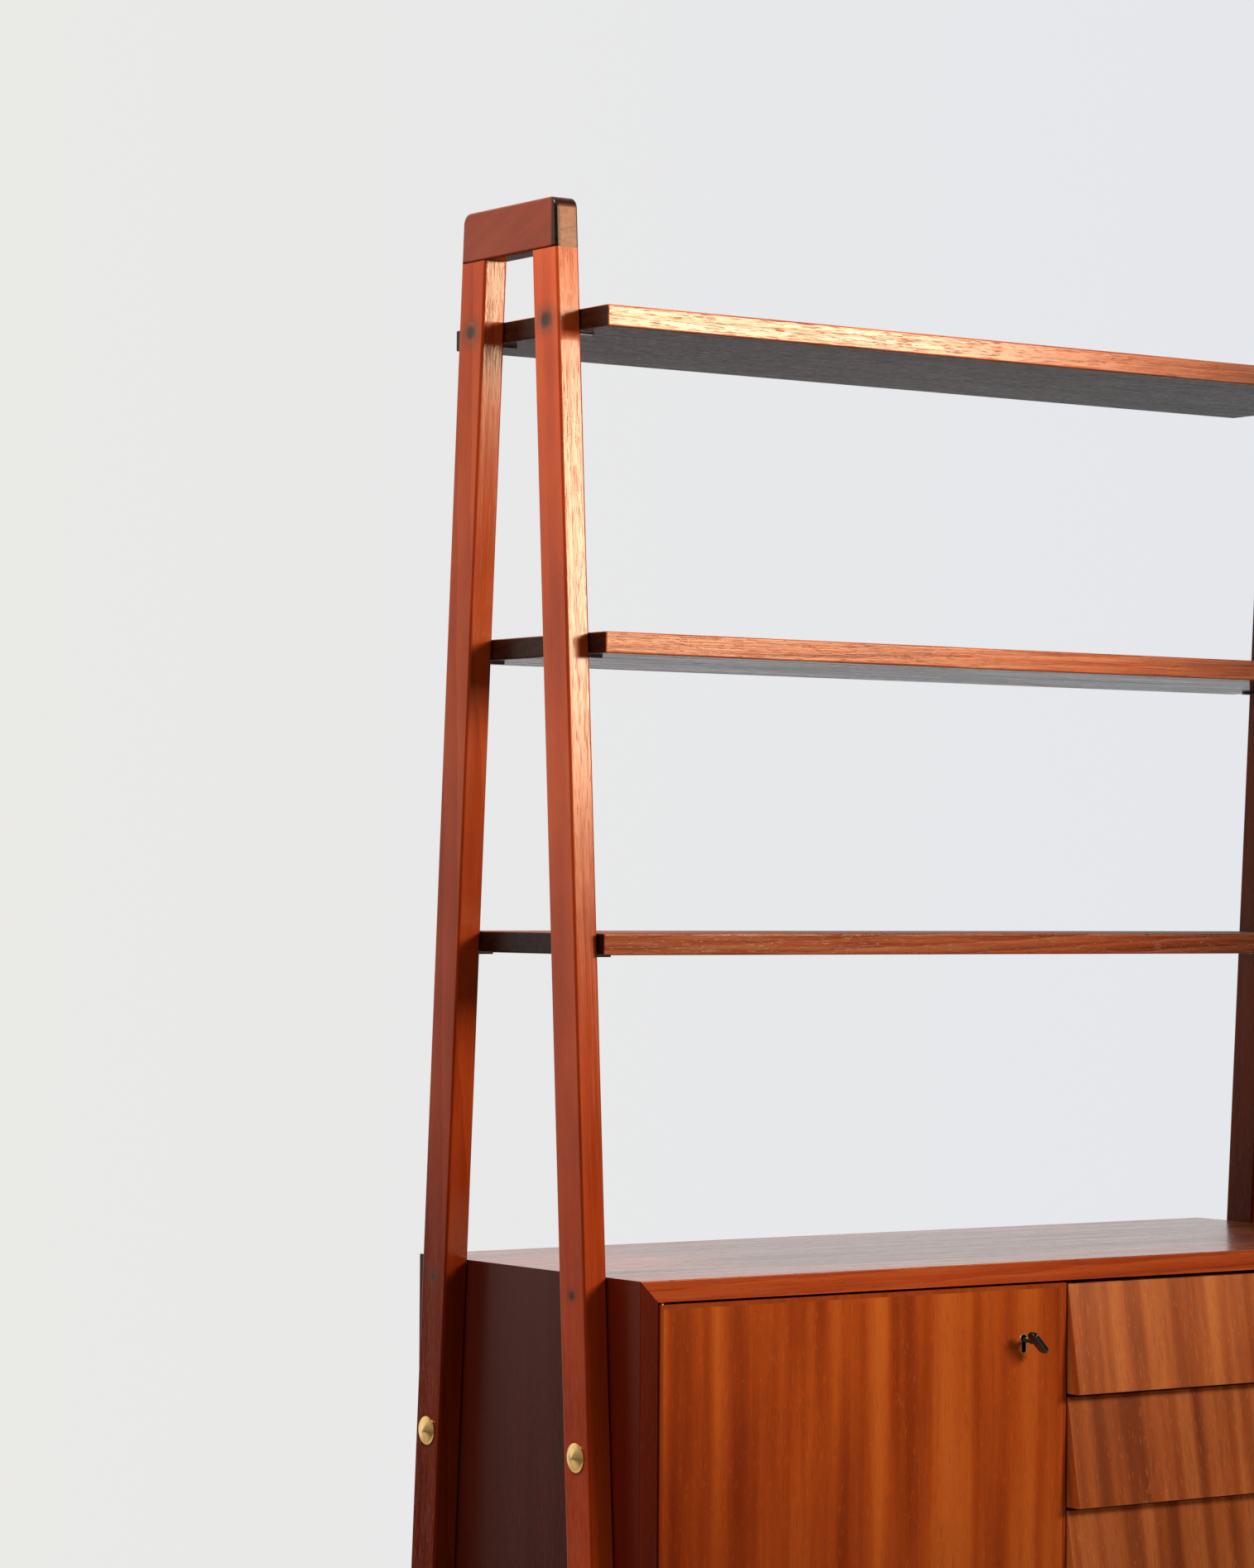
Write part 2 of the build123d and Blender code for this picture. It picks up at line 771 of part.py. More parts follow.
nodes["cabinet_back"] = solids(box(-innerX, innerX, backFrontY, backRearY, innerBottom, innerTop))
nodes["cabinet_divider"] = divider()
nodes["cupboard_shelf"] = cupboardShelf()
nodes["cupboard_shelf_pins"] = group(shelfPins)
nodes["drawer_runners_left"] = runners(-1)
nodes["drawer_runners_right"] = runners(1)
nodes["pivot_sockets"] = group(socketPlates)
nodes["strike_plate"] = solids(strikePlate())
nodes["door_panel"] = doorPanel()
nodes["door_lippings"] = doorLippings()
nodes["door_pivots"] = group(doorPlates)
nodes["keyhole_liner"] = keyholeLiner()
nodes["lock_case"] = lockCase()
nodes["lock_bolt"] = solids(lockBolt())
nodes["key_shank"] = keyShank()
nodes["key_bow"] = keyBow()
for index in range(drawerCount):
    name = "drawer_" + str(index + 1)
    nodes[name + "_front"] = drawerFront(index)
    nodes[name + "_left_side"] = drawerSide(index, -1)
    nodes[name + "_right_side"] = drawerSide(index, 1)
    nodes[name + "_back"] = drawerBack(index)
    nodes[name + "_bottom"] = solids(bottomPanel(index))

os.makedirs("parts", exist_ok=True)
for name, shape in nodes.items():
    export_step(shape, "parts/" + name + ".step")
print(len(nodes), "nodes")
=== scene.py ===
import bpy
import bmesh
import json
import math
from mathutils import Matrix, Vector

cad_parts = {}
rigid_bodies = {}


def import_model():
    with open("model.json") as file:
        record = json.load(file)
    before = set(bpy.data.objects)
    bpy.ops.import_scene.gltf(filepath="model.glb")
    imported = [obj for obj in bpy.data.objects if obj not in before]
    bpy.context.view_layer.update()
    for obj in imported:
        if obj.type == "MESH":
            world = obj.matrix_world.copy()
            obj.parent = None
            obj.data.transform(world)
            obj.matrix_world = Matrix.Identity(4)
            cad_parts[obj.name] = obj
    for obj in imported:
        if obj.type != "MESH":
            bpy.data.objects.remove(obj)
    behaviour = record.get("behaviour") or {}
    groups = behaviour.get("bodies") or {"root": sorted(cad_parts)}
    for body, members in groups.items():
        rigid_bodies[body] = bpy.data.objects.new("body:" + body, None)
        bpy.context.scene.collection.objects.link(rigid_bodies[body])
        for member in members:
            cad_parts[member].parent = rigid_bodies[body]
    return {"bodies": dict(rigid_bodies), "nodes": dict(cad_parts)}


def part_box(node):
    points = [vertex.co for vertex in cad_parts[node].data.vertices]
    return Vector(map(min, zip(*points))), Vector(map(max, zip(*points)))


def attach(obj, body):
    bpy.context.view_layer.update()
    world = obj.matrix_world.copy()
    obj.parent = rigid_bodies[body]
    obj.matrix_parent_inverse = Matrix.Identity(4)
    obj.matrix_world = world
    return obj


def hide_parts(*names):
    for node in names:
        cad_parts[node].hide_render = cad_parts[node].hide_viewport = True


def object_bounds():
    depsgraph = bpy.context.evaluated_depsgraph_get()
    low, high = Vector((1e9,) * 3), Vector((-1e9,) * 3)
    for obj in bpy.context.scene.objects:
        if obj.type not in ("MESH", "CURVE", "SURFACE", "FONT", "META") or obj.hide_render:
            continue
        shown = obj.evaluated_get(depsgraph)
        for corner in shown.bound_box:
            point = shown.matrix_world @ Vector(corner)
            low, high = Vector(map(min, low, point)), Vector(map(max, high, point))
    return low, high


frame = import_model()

# ladder shelf in reddish teak and ribbon-stripe mahogany under a satin lacquer,
# with turned brass bolts, a brass keyhole and a black key
# everything is in metres, Z up, and -Y is the front
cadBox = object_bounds()
nodes = frame["nodes"]
print("frame loaded:", len(nodes), "nodes")


# small helpers that every material uses
def addNode(tree, kind, **settings):
    node = tree.nodes.new(kind)
    for key, value in settings.items():
        setattr(node, key, value)
    return node


def plugIn(tree, value, socket):
    # another node's output is linked to the socket, a number or a colour is set on it
    if isinstance(value, bpy.types.NodeSocket):
        tree.links.new(value, socket)
    else:
        socket.default_value = value


def mathOf(tree, operation, a, b=0.0, c=0.0):
    node = addNode(tree, "ShaderNodeMath", operation=operation)
    for value, socket in zip((a, b, c), node.inputs):
        plugIn(tree, value, socket)
    return node.outputs[0]


def vectorOf(tree, operation, a, b=(0.0, 0.0, 0.0)):
    node = addNode(tree, "ShaderNodeVectorMath", operation=operation)
    plugIn(tree, a, node.inputs[0])
    plugIn(tree, b, node.inputs[1])
    return node.outputs["Value" if operation in ("DOT_PRODUCT", "LENGTH") else "Vector"]


def rangeOf(tree, value, low, high, toLow=0.0, toHigh=1.0, kind="SMOOTHSTEP"):
    node = addNode(tree, "ShaderNodeMapRange", interpolation_type=kind)
    plugIn(tree, value, node.inputs["Value"])
    for name, number in (("From Min", low), ("From Max", high), ("To Min", toLow), ("To Max", toHigh)):
        plugIn(tree, number, node.inputs[name])
    return node.outputs["Result"]


def mappedOf(tree, place, size=(1, 1, 1), turn=(0, 0, 0), shift=(0, 0, 0)):
    node = addNode(tree, "ShaderNodeMapping")
    plugIn(tree, place, node.inputs["Vector"])
    plugIn(tree, size, node.inputs["Scale"])
    plugIn(tree, turn, node.inputs["Rotation"])
    plugIn(tree, shift, node.inputs["Location"])
    return node.outputs[0]


def noiseOf(tree, place, stretch, detail=2.0, roughness=0.55):
    # noise with its own stretch along each axis
    noise = addNode(tree, "ShaderNodeTexNoise")
    plugIn(tree, mappedOf(tree, place, stretch), noise.inputs["Vector"])
    noise.inputs["Scale"].default_value = 1.0
    noise.inputs["Detail"].default_value = detail
    noise.inputs["Roughness"].default_value = roughness
    return noise.outputs["Fac"]


def mixOf(tree, share, first, second, blend="MIX"):
    node = addNode(tree, "ShaderNodeMix", data_type="RGBA", blend_type=blend)
    plugIn(tree, share, node.inputs["Factor"])
    plugIn(tree, first, node.inputs["A"])
    plugIn(tree, second, node.inputs["B"])
    return node.outputs["Result"]


def rampOf(tree, value, stops):
    ramp = addNode(tree, "ShaderNodeValToRGB")
    points = ramp.color_ramp.elements
    while len(points) < len(stops):
        points.new(0.5)
    for point, (position, colour) in zip(points, stops):
        point.position = position
        point.color = (*colour, 1.0)
    plugIn(tree, value, ramp.inputs["Fac"])
    return ramp.outputs["Color"]


def bumpOf(tree, height, strength, distance):
    bump = addNode(tree, "ShaderNodeBump")
    bump.inputs["Strength"].default_value = strength
    bump.inputs["Distance"].default_value = distance
    plugIn(tree, height, bump.inputs["Height"])
    return bump.outputs["Normal"]


def placeOf(tree):
    return addNode(tree, "ShaderNodeTexCoord").outputs["Object"]


def normalOf(tree):
    return addNode(tree, "ShaderNodeNewGeometry").outputs["Normal"]


def axesOf(tree, vector):
    # a vector's "X", "Y" and "Z" as separate values
    node = addNode(tree, "ShaderNodeSeparateXYZ")
    plugIn(tree, vector, node.inputs[0])
    return node.outputs


def scaled(colour, share):
    return tuple(share * channel for channel in colour)


def tinted(tree, share, colour, tint):
    return mixOf(tree, share, colour, mixOf(tree, 1.0, colour, (*tint, 1.0), "MULTIPLY"))


def fadeOf(tree, start, stop):
    # 0 at the plane through one point and 1 at the plane through another
    way = Vector(stop) - Vector(start)
    offset = vectorOf(tree, "SUBTRACT", placeOf(tree), start)
    return rangeOf(tree, vectorOf(tree, "DOT_PRODUCT", offset, way / way.length_squared), 0.0, 1.0)


def newMaterial(name):
    material = bpy.data.materials.new(name)
    material.use_nodes = True
    tree = material.node_tree
    return material, tree, tree.nodes["Principled BSDF"]


def recolour(material, change, *values):
    # one more step between a finished material's colour and its shader
    tree = material.node_tree
    socket = tree.nodes["Principled BSDF"].inputs["Base Color"]
    plugIn(tree, change(tree, socket.links[0].from_socket, *values), socket)


def dress(nodeName, material):
    slots = nodes[nodeName].data.materials
    slots.clear()
    slots.append(material)


# what all the woods have in common: sizes in metres, across and along the grain
woodFigure = {
    "sway": (0.012, 0.009),          # how far the grain wanders, in X and in Y
    "swayScale": (9, 9, 1.3),        # how often in a metre it wanders
    "ribbonScale": 1.3,              # how often in a metre a ribbon changes along the grain
    "ribbonRange": (0.25, 0.75),
    "streakSize": (0.0042, 0.31),
    "fineSize": (0.0012, 0.07),
    "poreSize": (0.0007, 0.016),
    "fleckSize": (0.0024, 0.009),
    "blotchSize": (0.060, 0.16),
    "heartLean": (0.05, 0.03, 0.0),
    "heartShift": (0.031, 0.047, 0.0),
    "ringWarp": 1.6,
    "shadeStops": (0.22, 0.50, 0.78),
    "poreRange": (0.58, 0.70),
    "fleckRange": (0.58, 0.72),
    "poreShade": 0.35,               # against the wood's dark shade
    "fleckShade": 1.45,              # against its light shade
}
# how the lacquer lies on them
lacquerValues = {
    "specular": 0.28,
    "specularTint": (1.0, 0.84, 0.56, 1.0),
    "unevenRough": 0.34,
    "fineShare": 0.60,
    "poreRough": 0.12,
    "endRough": 0.12,
    "underRough": -0.05,
    "relief": {"fine": 0.5, "pore": -0.7, "streak": 0.8},
    "reliefDepth": 0.00016,
}
# how far a face has to turn before it takes its own tint, which is the end grain's own colour or painted
# shade and light: not at all, wholly
faceRanges = {"end": (0.60, 0.90), "under": (-0.4, -0.9), "upper": (0.4, 0.9), "corner": (0.18, 0.42)}


def grainNoise(tree, place, size, detail=2.0):
    across, along = size
    return noiseOf(tree, place, (1 / across, 1 / across, 1 / along), detail)


def grainSpace(tree, grain, shift):
    # the object's own space turned so that the grain runs along Z, and bent a little
    turn = Vector(grain).rotation_difference(Vector((0, 0, 1))).to_euler()
    place = mappedOf(tree, placeOf(tree), turn=turn, shift=shift)
    wander = noiseOf(tree, place, woodFigure["swayScale"], detail=1)
    sway = addNode(tree, "ShaderNodeCombineXYZ")
    for axis, reach in zip(("X", "Y"), woodFigure["sway"]):
        plugIn(tree, mathOf(tree, "MULTIPLY", wander, reach), sway.inputs[axis])
    return vectorOf(tree, "ADD", place, sway.outputs[0])


def ringsOf(tree, place, gap):
    # growth rings round a leaning heart line, which cut a flat face into long arches
    lean = mappedOf(tree, place, turn=woodFigure["heartLean"], shift=woodFigure["heartShift"])
    wave = addNode(tree, "ShaderNodeTexWave", wave_type="RINGS", rings_direction="Z", wave_profile="SAW")
    tree.links.new(lean, wave.inputs["Vector"])
    gapAtScaleOne = 0.31             # the wave texture's own ring width
    wave.inputs["Scale"].default_value = gapAtScaleOne / gap
    wave.inputs["Distortion"].default_value = woodFigure["ringWarp"]
    wave.inputs["Detail"].default_value = 2.0
    wave.inputs["Detail Scale"].default_value = 0.5
    return wave.outputs["Fac"]


def grainParts(tree, place):
    # the small parts of the grain, which the colour, the gloss and the relief all follow
    pore = grainNoise(tree, place, woodFigure["poreSize"], 1)
    return {
        "streak": grainNoise(tree, place, woodFigure["streakSize"], detail=3),
        "fine": grainNoise(tree, place, woodFigure["fineSize"]),
        "pore": rangeOf(tree, pore, *woodFigure["poreRange"]),
    }


def grainColour(tree, wood, place, parts, tone):
    # three shades of the wood laid out by its figure, with dark open pores and short pale flecks
    width = wood["ribbonWidth"]
    ribbon = noiseOf(tree, place, (1 / width, 1 / width, woodFigure["ribbonScale"]), 1.5)
    layers = {
        "ribbon": rangeOf(tree, ribbon, *woodFigure["ribbonRange"]),
        "rings": ringsOf(tree, place, wood["ringGap"]),
        "streak": parts["streak"],
        "fine": parts["fine"],
        "blotch": grainNoise(tree, place, woodFigure["blotchSize"]),
    }
    figure = 0.5
    for name, layer in layers.items():
        figure = mathOf(tree, "MULTIPLY_ADD", mathOf(tree, "SUBTRACT", layer, 0.5), wood[name], figure)
    shades = [scaled(wood[shade], tone) for shade in ("dark", "mid", "light")]
    colour = rampOf(tree, figure, list(zip(woodFigure["shadeStops"], shades)))

    poreColour = scaled(shades[0], woodFigure["poreShade"])
    poreShare = mathOf(tree, "MULTIPLY", parts["pore"], wood["pore"])
    colour = mixOf(tree, poreShare, colour, (*poreColour, 1.0))
    fleck = grainNoise(tree, place, woodFigure["fleckSize"])
    fleckShare = rangeOf(tree, fleck, *woodFigure["fleckRange"], 0.0, wood["fleck"])
    fleckColour = scaled(shades[2], woodFigure["fleckShade"])
    return mixOf(tree, fleckShare, colour, (*fleckColour, 1.0))


def facesOf(tree, grain):
    # end grain, undersides, tops, and rounded edges between a side and a front or back face
    alongGrain = vectorOf(tree, "DOT_PRODUCT", normalOf(tree), Vector(grain).normalized())
    upward = vectorOf(tree, "DOT_PRODUCT", normalOf(tree), (0, 0, 1))
    turned = axesOf(tree, normalOf(tree))
    turns = {
        "end": mathOf(tree, "ABSOLUTE", alongGrain),
        "under": upward,
        "upper": upward,
        "corner": mathOf(tree, "ABSOLUTE", mathOf(tree, "MULTIPLY", turned["X"], turned["Y"])),
    }
    return {face: rangeOf(tree, turn, *faceRanges[face]) for face, turn in turns.items()}


def lacquerRough(tree, wood, parts, faces):
    uneven = wood.get("unevenRough", lacquerValues["unevenRough"])
    changes = [
        (mathOf(tree, "SUBTRACT", parts["streak"], 0.5), uneven),
        (mathOf(tree, "SUBTRACT", parts["fine"], 0.5), lacquerValues["fineShare"] * uneven),
        (parts["pore"], lacquerValues["poreRough"]),
        (faces["end"], lacquerValues["endRough"]),
        (faces["under"], lacquerValues["underRough"]),
        (faces["upper"], wood.get("upperRough", 0.0)),
    ]
    rough = wood["rough"]
    for part, share in changes:
        rough = mathOf(tree, "MULTIPLY_ADD", part, share, rough)
    return rough


def grainRelief(tree, parts):
    relief = 0.0
    for part, share in lacquerValues["relief"].items():
        relief = mathOf(tree, "MULTIPLY_ADD", parts[part], share, relief)
    return relief


def woodMaterial(name, wood, grain=(0, 0, 1), shift=(0, 0, 0), tone=1.0, marks=(), board=None, fades=()):
    # marks are dark oily spots, board is the box of a board whose edges get a painted highlight and small
    # dark chips, and fades are places where the colour slowly changes, mostly painted shade and light
    material, tree, shader = newMaterial(name)
    place = grainSpace(tree, grain, shift)
    parts = grainParts(tree, place)
    faces = facesOf(tree, grain)
    colour = grainColour(tree, wood, place, parts, tone)
    # painted shade and light by how a face is turned: darker undersides and rounded corners are painted
    # shade, greyer upward faces a painted reflection of the pale wall, paler cap ends a painted highlight
    # and near black shelf ends painted shadow; the darker end grain of the other woods is their own
    for face, share in faces.items():
        if face in wood:
            colour = tinted(tree, share, colour, wood[face])
    for start, stop, tint in fades:
        colour = tinted(tree, fadeOf(tree, start, stop), colour, tint)
    if board:
        colour = edgeHighlightAndWear(tree, colour, board)
    for spot, radius, strength in marks:
        colour = oilyMark(tree, colour, spot, radius, strength)
    relief = bumpOf(tree, grainRelief(tree, parts), wood["relief"], lacquerValues["reliefDepth"])
    plugIn(tree, colour, shader.inputs["Base Color"])
    plugIn(tree, lacquerRough(tree, wood, parts, faces), shader.inputs["Roughness"])
    plugIn(tree, relief, shader.inputs["Normal"])
    shader.inputs["Specular IOR Level"].default_value = wood.get("specular", lacquerValues["specular"])
    shader.inputs["Specular Tint"].default_value = lacquerValues["specularTint"]
    return material


# a painted highlight and wear along a board's edges: distances in from the edge where it stops and where it
# is full
edgeHighlightAndWearValues = {
    "rubbed": (0.0016, 0.0004), "rubbedShare": 0.35, "highlightTint": (1.5, 1.7, 1.8),
    "chipped": (0.0022, 0.0010), "chippedShare": 0.75, "chipColour": (0.035, 0.012, 0.006, 1.0),
    "chipScale": (130, 420, 420), "chipRange": (0.62, 0.68),
}
# oily marks: where the halo and the core stop and are full, as shares of the mark's radius
oilValues = {
    "halo": (1.60, 0.30), "haloShare": 0.85, "haloColour": (0.110, 0.040, 0.020, 1.0),
    "core": (0.85, 0.35), "coreColour": (0.030, 0.016, 0.011, 1.0),
    "raggedScale": (150, 150, 60), "raggedShare": 0.4, "squash": (1.0, 0.88, 1.0),
}


def edgeHighlightAndWear(tree, colour, board):
    # a pale line along a board's long edges, a painted highlight on their rounding, with small dark chips of
    # wear
    low, high = board
    place = axesOf(tree, placeOf(tree))
    inward = []
    for axis in ("y", "z"):
        here = place[axis.upper()]
        fromLow = mathOf(tree, "SUBTRACT", here, getattr(low, axis))
        fromHigh = mathOf(tree, "SUBTRACT", getattr(high, axis), here)
        inward.append(mathOf(tree, "MINIMUM", fromLow, fromHigh))
    distance = mathOf(tree, "MAXIMUM", *inward)
    # painted highlight: the pale band named rubbed is the light caught by the rounded edge
    rubbed = rangeOf(tree, distance, *edgeHighlightAndWearValues["rubbed"], 0.0, edgeHighlightAndWearValues["rubbedShare"])
    colour = tinted(tree, rubbed, colour, edgeHighlightAndWearValues["highlightTint"])
    ragged = noiseOf(tree, placeOf(tree), edgeHighlightAndWearValues["chipScale"], detail=3)
    chipped = rangeOf(tree, ragged, *edgeHighlightAndWearValues["chipRange"], 0.0, edgeHighlightAndWearValues["chippedShare"])
    chip = mathOf(tree, "MULTIPLY", chipped, rangeOf(tree, distance, *edgeHighlightAndWearValues["chipped"]))
    return mixOf(tree, chip, colour, edgeHighlightAndWearValues["chipColour"])


def oilyMark(tree, colour, spot, radius, strength):
    # a soft dark mark in the surface round one spot: a wide halo and a darker core
    offset = vectorOf(tree, "SUBTRACT", placeOf(tree), spot)
    length = vectorOf(tree, "LENGTH", vectorOf(tree, "MULTIPLY", offset, oilValues["squash"]))
    ragged = noiseOf(tree, placeOf(tree), oilValues["raggedScale"])
    distance = mathOf(tree, "MULTIPLY_ADD", ragged, radius * oilValues["raggedShare"], length)
    haloRange = [radius * share for share in oilValues["halo"]]
    coreRange = [radius * share for share in oilValues["core"]]
    halo = rangeOf(tree, distance, *haloRange, 0.0, strength * oilValues["haloShare"])
    core = rangeOf(tree, distance, *coreRange, 0.0, strength)
    colour = mixOf(tree, halo, colour, oilValues["haloColour"])
    return mixOf(tree, core, colour, oilValues["coreColour"])


# the left and right ladders: four splayed legs
legWood = {
    "dark": (0.300, 0.034, 0.007), "mid": (0.490, 0.068, 0.014), "light": (0.620, 0.115, 0.027),
    "ribbon": 0.10, "ribbonWidth": 0.020, "rings": 0.04, "ringGap": 0.014, "streak": 0.16, "fine": 0.16,
    "blotch": 0.70, "pore": 0.22, "fleck": 0.05, "rough": 0.20, "specular": 0.24, "relief": 0.55,
    # under and corner are painted shade on the undersides and the rounded corners; end is the end grain's
    # own darker tint
    "end": (0.45, 0.50, 0.60), "under": (0.6, 0.6, 0.7), "corner": (0.62, 0.50, 0.50),
}
rearLegWood = {**legWood, "rings": 0.16, "ringGap": 0.020, "rough": 0.17, "specular": 0.16}
legTones = {
    "left_front": (legWood, 0.88),
    "left_rear": (rearLegWood, 0.66),
    "right_front": (legWood, 0.56),
    "right_rear": (rearLegWood, 0.50),
}
# painted light: the legs are painted redder from one height down to the other, losing the pale sheen that
# the light from the upper left lays on their tops, and the rear legs are painted darker once more low down,
# painted shade where less light reaches
legSheenFade = {"from": 1.45, "to": 0.95, "tint": (0.98, 0.74, 0.46)}
rearLegShadeFade = {"from": 1.12, "to": 0.86, "tint": (0.52, 0.50, 0.55)}
markValues = {"plugRadius": 0.0155, "plugStrength": 0.90, "dowelRadius": 0.0078, "dowelStrength": 0.72}


def middleHeight(nodeName):
    low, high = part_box(nodeName)
    return (low.z + high.z) / 2


legShape = {"halfWidth": 13 / 16}    # seen from the side, as a share of the leg's thickness


def legLine(nodeName):
    # a leg's middle line from its box, which its width makes longer than the line at both ends
    low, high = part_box(nodeName)
    face = 1 if low.y + high.y > 0 else -1
    halfWidth = (high.x - low.x) * legShape["halfWidth"]
    outerFoot = max(abs(low.y), abs(high.y))
    innerHead = min(abs(low.y), abs(high.y))
    across = (low.x + high.x) / 2
    foot = Vector((across, face * (outerFoot - halfWidth), low.z))
    return foot, Vector((across, face * (innerHead + halfWidth), high.z))


def onLine(line, z):
    start, end = line
    return start.lerp(end, (z - start.z) / (end.z - start.z))


marks = {}
upperFade = ((0, 0, legSheenFade["from"]), (0, 0, legSheenFade["to"]), legSheenFade["tint"])
lowerFade = ((0, 0, rearLegShadeFade["from"]), (0, 0, rearLegShadeFade["to"]), rearLegShadeFade["tint"])
for index, (place, (wood, tone)) in enumerate(legTones.items()):
    nodeName = "ladder_" + place + "_leg"
    line = legLine(nodeName)
    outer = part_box(nodeName)[0 if "left" in place else 1].x
    plugHeight, dowelHeight = middleHeight("wood_plugs"), middleHeight("cabinet_dowels")
    plugSpot = Vector((outer, onLine(line, plugHeight).y, plugHeight))
    dowelSpot = Vector((outer, onLine(line, dowelHeight).y, dowelHeight))
    marks[place] = [
        (plugSpot, markValues["plugRadius"], markValues["plugStrength"]),
        (dowelSpot, markValues["dowelRadius"], markValues["dowelStrength"]),
    ]
    grain = (line[1] - line[0]).normalized()
    shift = (0.13 * index, 0.37 * index, 0.71 * index)
    fades = [upperFade, lowerFade] if "rear" in place else [upperFade]
    material = woodMaterial("teak_" + place + "_leg", wood, grain, shift, tone, marks[place], fades=fades)
    dress(nodeName, material)

# plugs and dowels are cut flush and lacquered with the legs, so the same marks run over them
plugMarks = [spots[0] for spots in marks.values()]
dowelMarks = [spots[1] for spots in marks.values()]
dress("wood_plugs", woodMaterial("teak_plugs", legWood, (0, 0, 1), (0.0, 0.4, 0.1), 0.75, plugMarks))
for nodeName in ("cabinet_dowels", "cap_dowels"):
    dress(nodeName, woodMaterial("teak_" + nodeName, legWood, (0, 0, 1), (0.2, 0.8, 0.5), 0.62, dowelMarks))
print("legs ready")


# the caps: the grain climbs towards the front, and the left one has a fine crack in its end
capWood = {
    "dark": (0.120, 0.015, 0.004), "mid": (0.175, 0.024, 0.007), "light": (0.230, 0.038, 0.011),
    "ribbon": 0.10, "ribbonWidth": 0.012, "rings": 0.06, "ringGap": 0.004, "streak": 0.24, "fine": 0.26,
    "blotch": 0.60, "pore": 0.18, "fleck": 0.06, "rough": 0.24, "relief": 0.20,
    # end is a painted highlight that makes both ends paler and greyer; under and corner are painted shade
    "end": (1.35, 2.10, 2.30), "under": (0.5, 0.5, 0.6), "corner": (0.22, 0.22, 0.40), "climb": 24.0,
}
crackValues = {
    "rise": 0.014, "slope": 0.28, "width": 0.0006, "wobble": 0.0016, "wobbleScale": (260, 260, 260),
    "depth": (0.008, 0.006), "colour": (0.012, 0.006, 0.004, 1.0),
}
rimValues = {"sideWidth": 0.0058, "topWidth": 0.0110, "depth": (0.010, 0.007), "tint": (0.12, 0.10, 0.24)}


def onFrontEnd(tree, front, depth):
    # depth is where it stops and where it is full, behind the front end's face
    stop, full = depth
    return rangeOf(tree, axesOf(tree, placeOf(tree))["Y"], front + stop, front + full)


def crackAcross(tree, colour, nodeName):
    # one thin dark line across the front end, from the outer edge upwards to the inner one
    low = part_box(nodeName)[0]
    place = axesOf(tree, placeOf(tree))
    ragged = noiseOf(tree, placeOf(tree), crackValues["wobbleScale"], detail=2)
    inward = mathOf(tree, "SUBTRACT", place["X"], low.x)
    rise = mathOf(tree, "MULTIPLY_ADD", inward, crackValues["slope"], low.z + crackValues["rise"])
    height = mathOf(tree, "MULTIPLY_ADD", ragged, crackValues["wobble"], place["Z"])
    distance = mathOf(tree, "ABSOLUTE", mathOf(tree, "SUBTRACT", height, rise))
    onLineShare = rangeOf(tree, distance, crackValues["width"], 0.0)
    share = mathOf(tree, "MULTIPLY", onLineShare, onFrontEnd(tree, low.y, crackValues["depth"]))
    return mixOf(tree, share, colour, crackValues["colour"])


def rimShade(tree, colour, nodeName):
    # painted shade: the front end is painted nearly black along its rim, where its rounded edges turn
    # towards the dark room
    low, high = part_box(nodeName)
    place = axesOf(tree, placeOf(tree))
    wide, tall = rimValues["sideWidth"], rimValues["topWidth"]
    nearSide = rangeOf(tree, place["X"], low.x + wide, low.x + wide * 0.5)
    nearOther = rangeOf(tree, place["X"], high.x - wide * 0.6, high.x - wide * 0.2)
    nearTop = rangeOf(tree, place["Z"], high.z - tall, high.z - tall * 0.5)
    rim = mathOf(tree, "MAXIMUM", nearSide, mathOf(tree, "MAXIMUM", nearOther, nearTop))
    share = mathOf(tree, "MULTIPLY", rim, onFrontEnd(tree, low.y, rimValues["depth"]))
    return tinted(tree, share, colour, rimValues["tint"])


climb = math.radians(capWood["climb"])
for index, side in enumerate(("left", "right")):
    nodeName = "ladder_" + side + "_cap"
    grain = (0, math.cos(climb), -math.sin(climb))
    material = woodMaterial("teak_" + side + "_cap", capWood, grain, (0.3 * index, 0.2, 0.1))
    if side == "left":
        recolour(material, rimShade, nodeName)
        recolour(material, crackAcross, nodeName)
    dress(nodeName, material)
print("caps ready")


# the three open shelves
shelfWood = {
    "dark": (0.220, 0.030, 0.008), "mid": (0.440, 0.072, 0.018), "light": (0.620, 0.150, 0.040),
    "ribbon": 0.15, "ribbonWidth": 0.016, "rings": 0.28, "ringGap": 0.009, "streak": 0.50, "fine": 0.36,
    "blotch": 0.25, "pore": 0.50, "fleck": 0.10, "rough": 0.22, "relief": 0.55,
    # end is painted shadow, near black on the ends between the legs; under is painted shade on the
    # undersides
    "end": (0.04, 0.04, 0.05), "under": (0.14, 0.12, 0.18), "upperRough": 0.34,
}
# painted shade: the shelves are painted darker to the right, where less of the lamp's light falls
shelfFade = {"from": 0.05, "to": 0.40, "tint": (0.30, 0.34, 0.44)}    # darker to the right of its middle
shelfTones = {"top_shelf": 1.0, "middle_shelf": 0.92, "lower_shelf": 0.62}
for index, (nodeName, tone) in enumerate(shelfTones.items()):
    shift = (0.21 * index, 0.17 * index, 0.5 * index)
    fade = ((shelfFade["from"], 0, 0), (shelfFade["to"], 0, 0), shelfFade["tint"])
    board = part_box(nodeName)
    dress(nodeName, woodMaterial("teak_" + nodeName, shelfWood, (1, 0, 0), shift, tone, (), board, [fade]))
print("shelves ready")


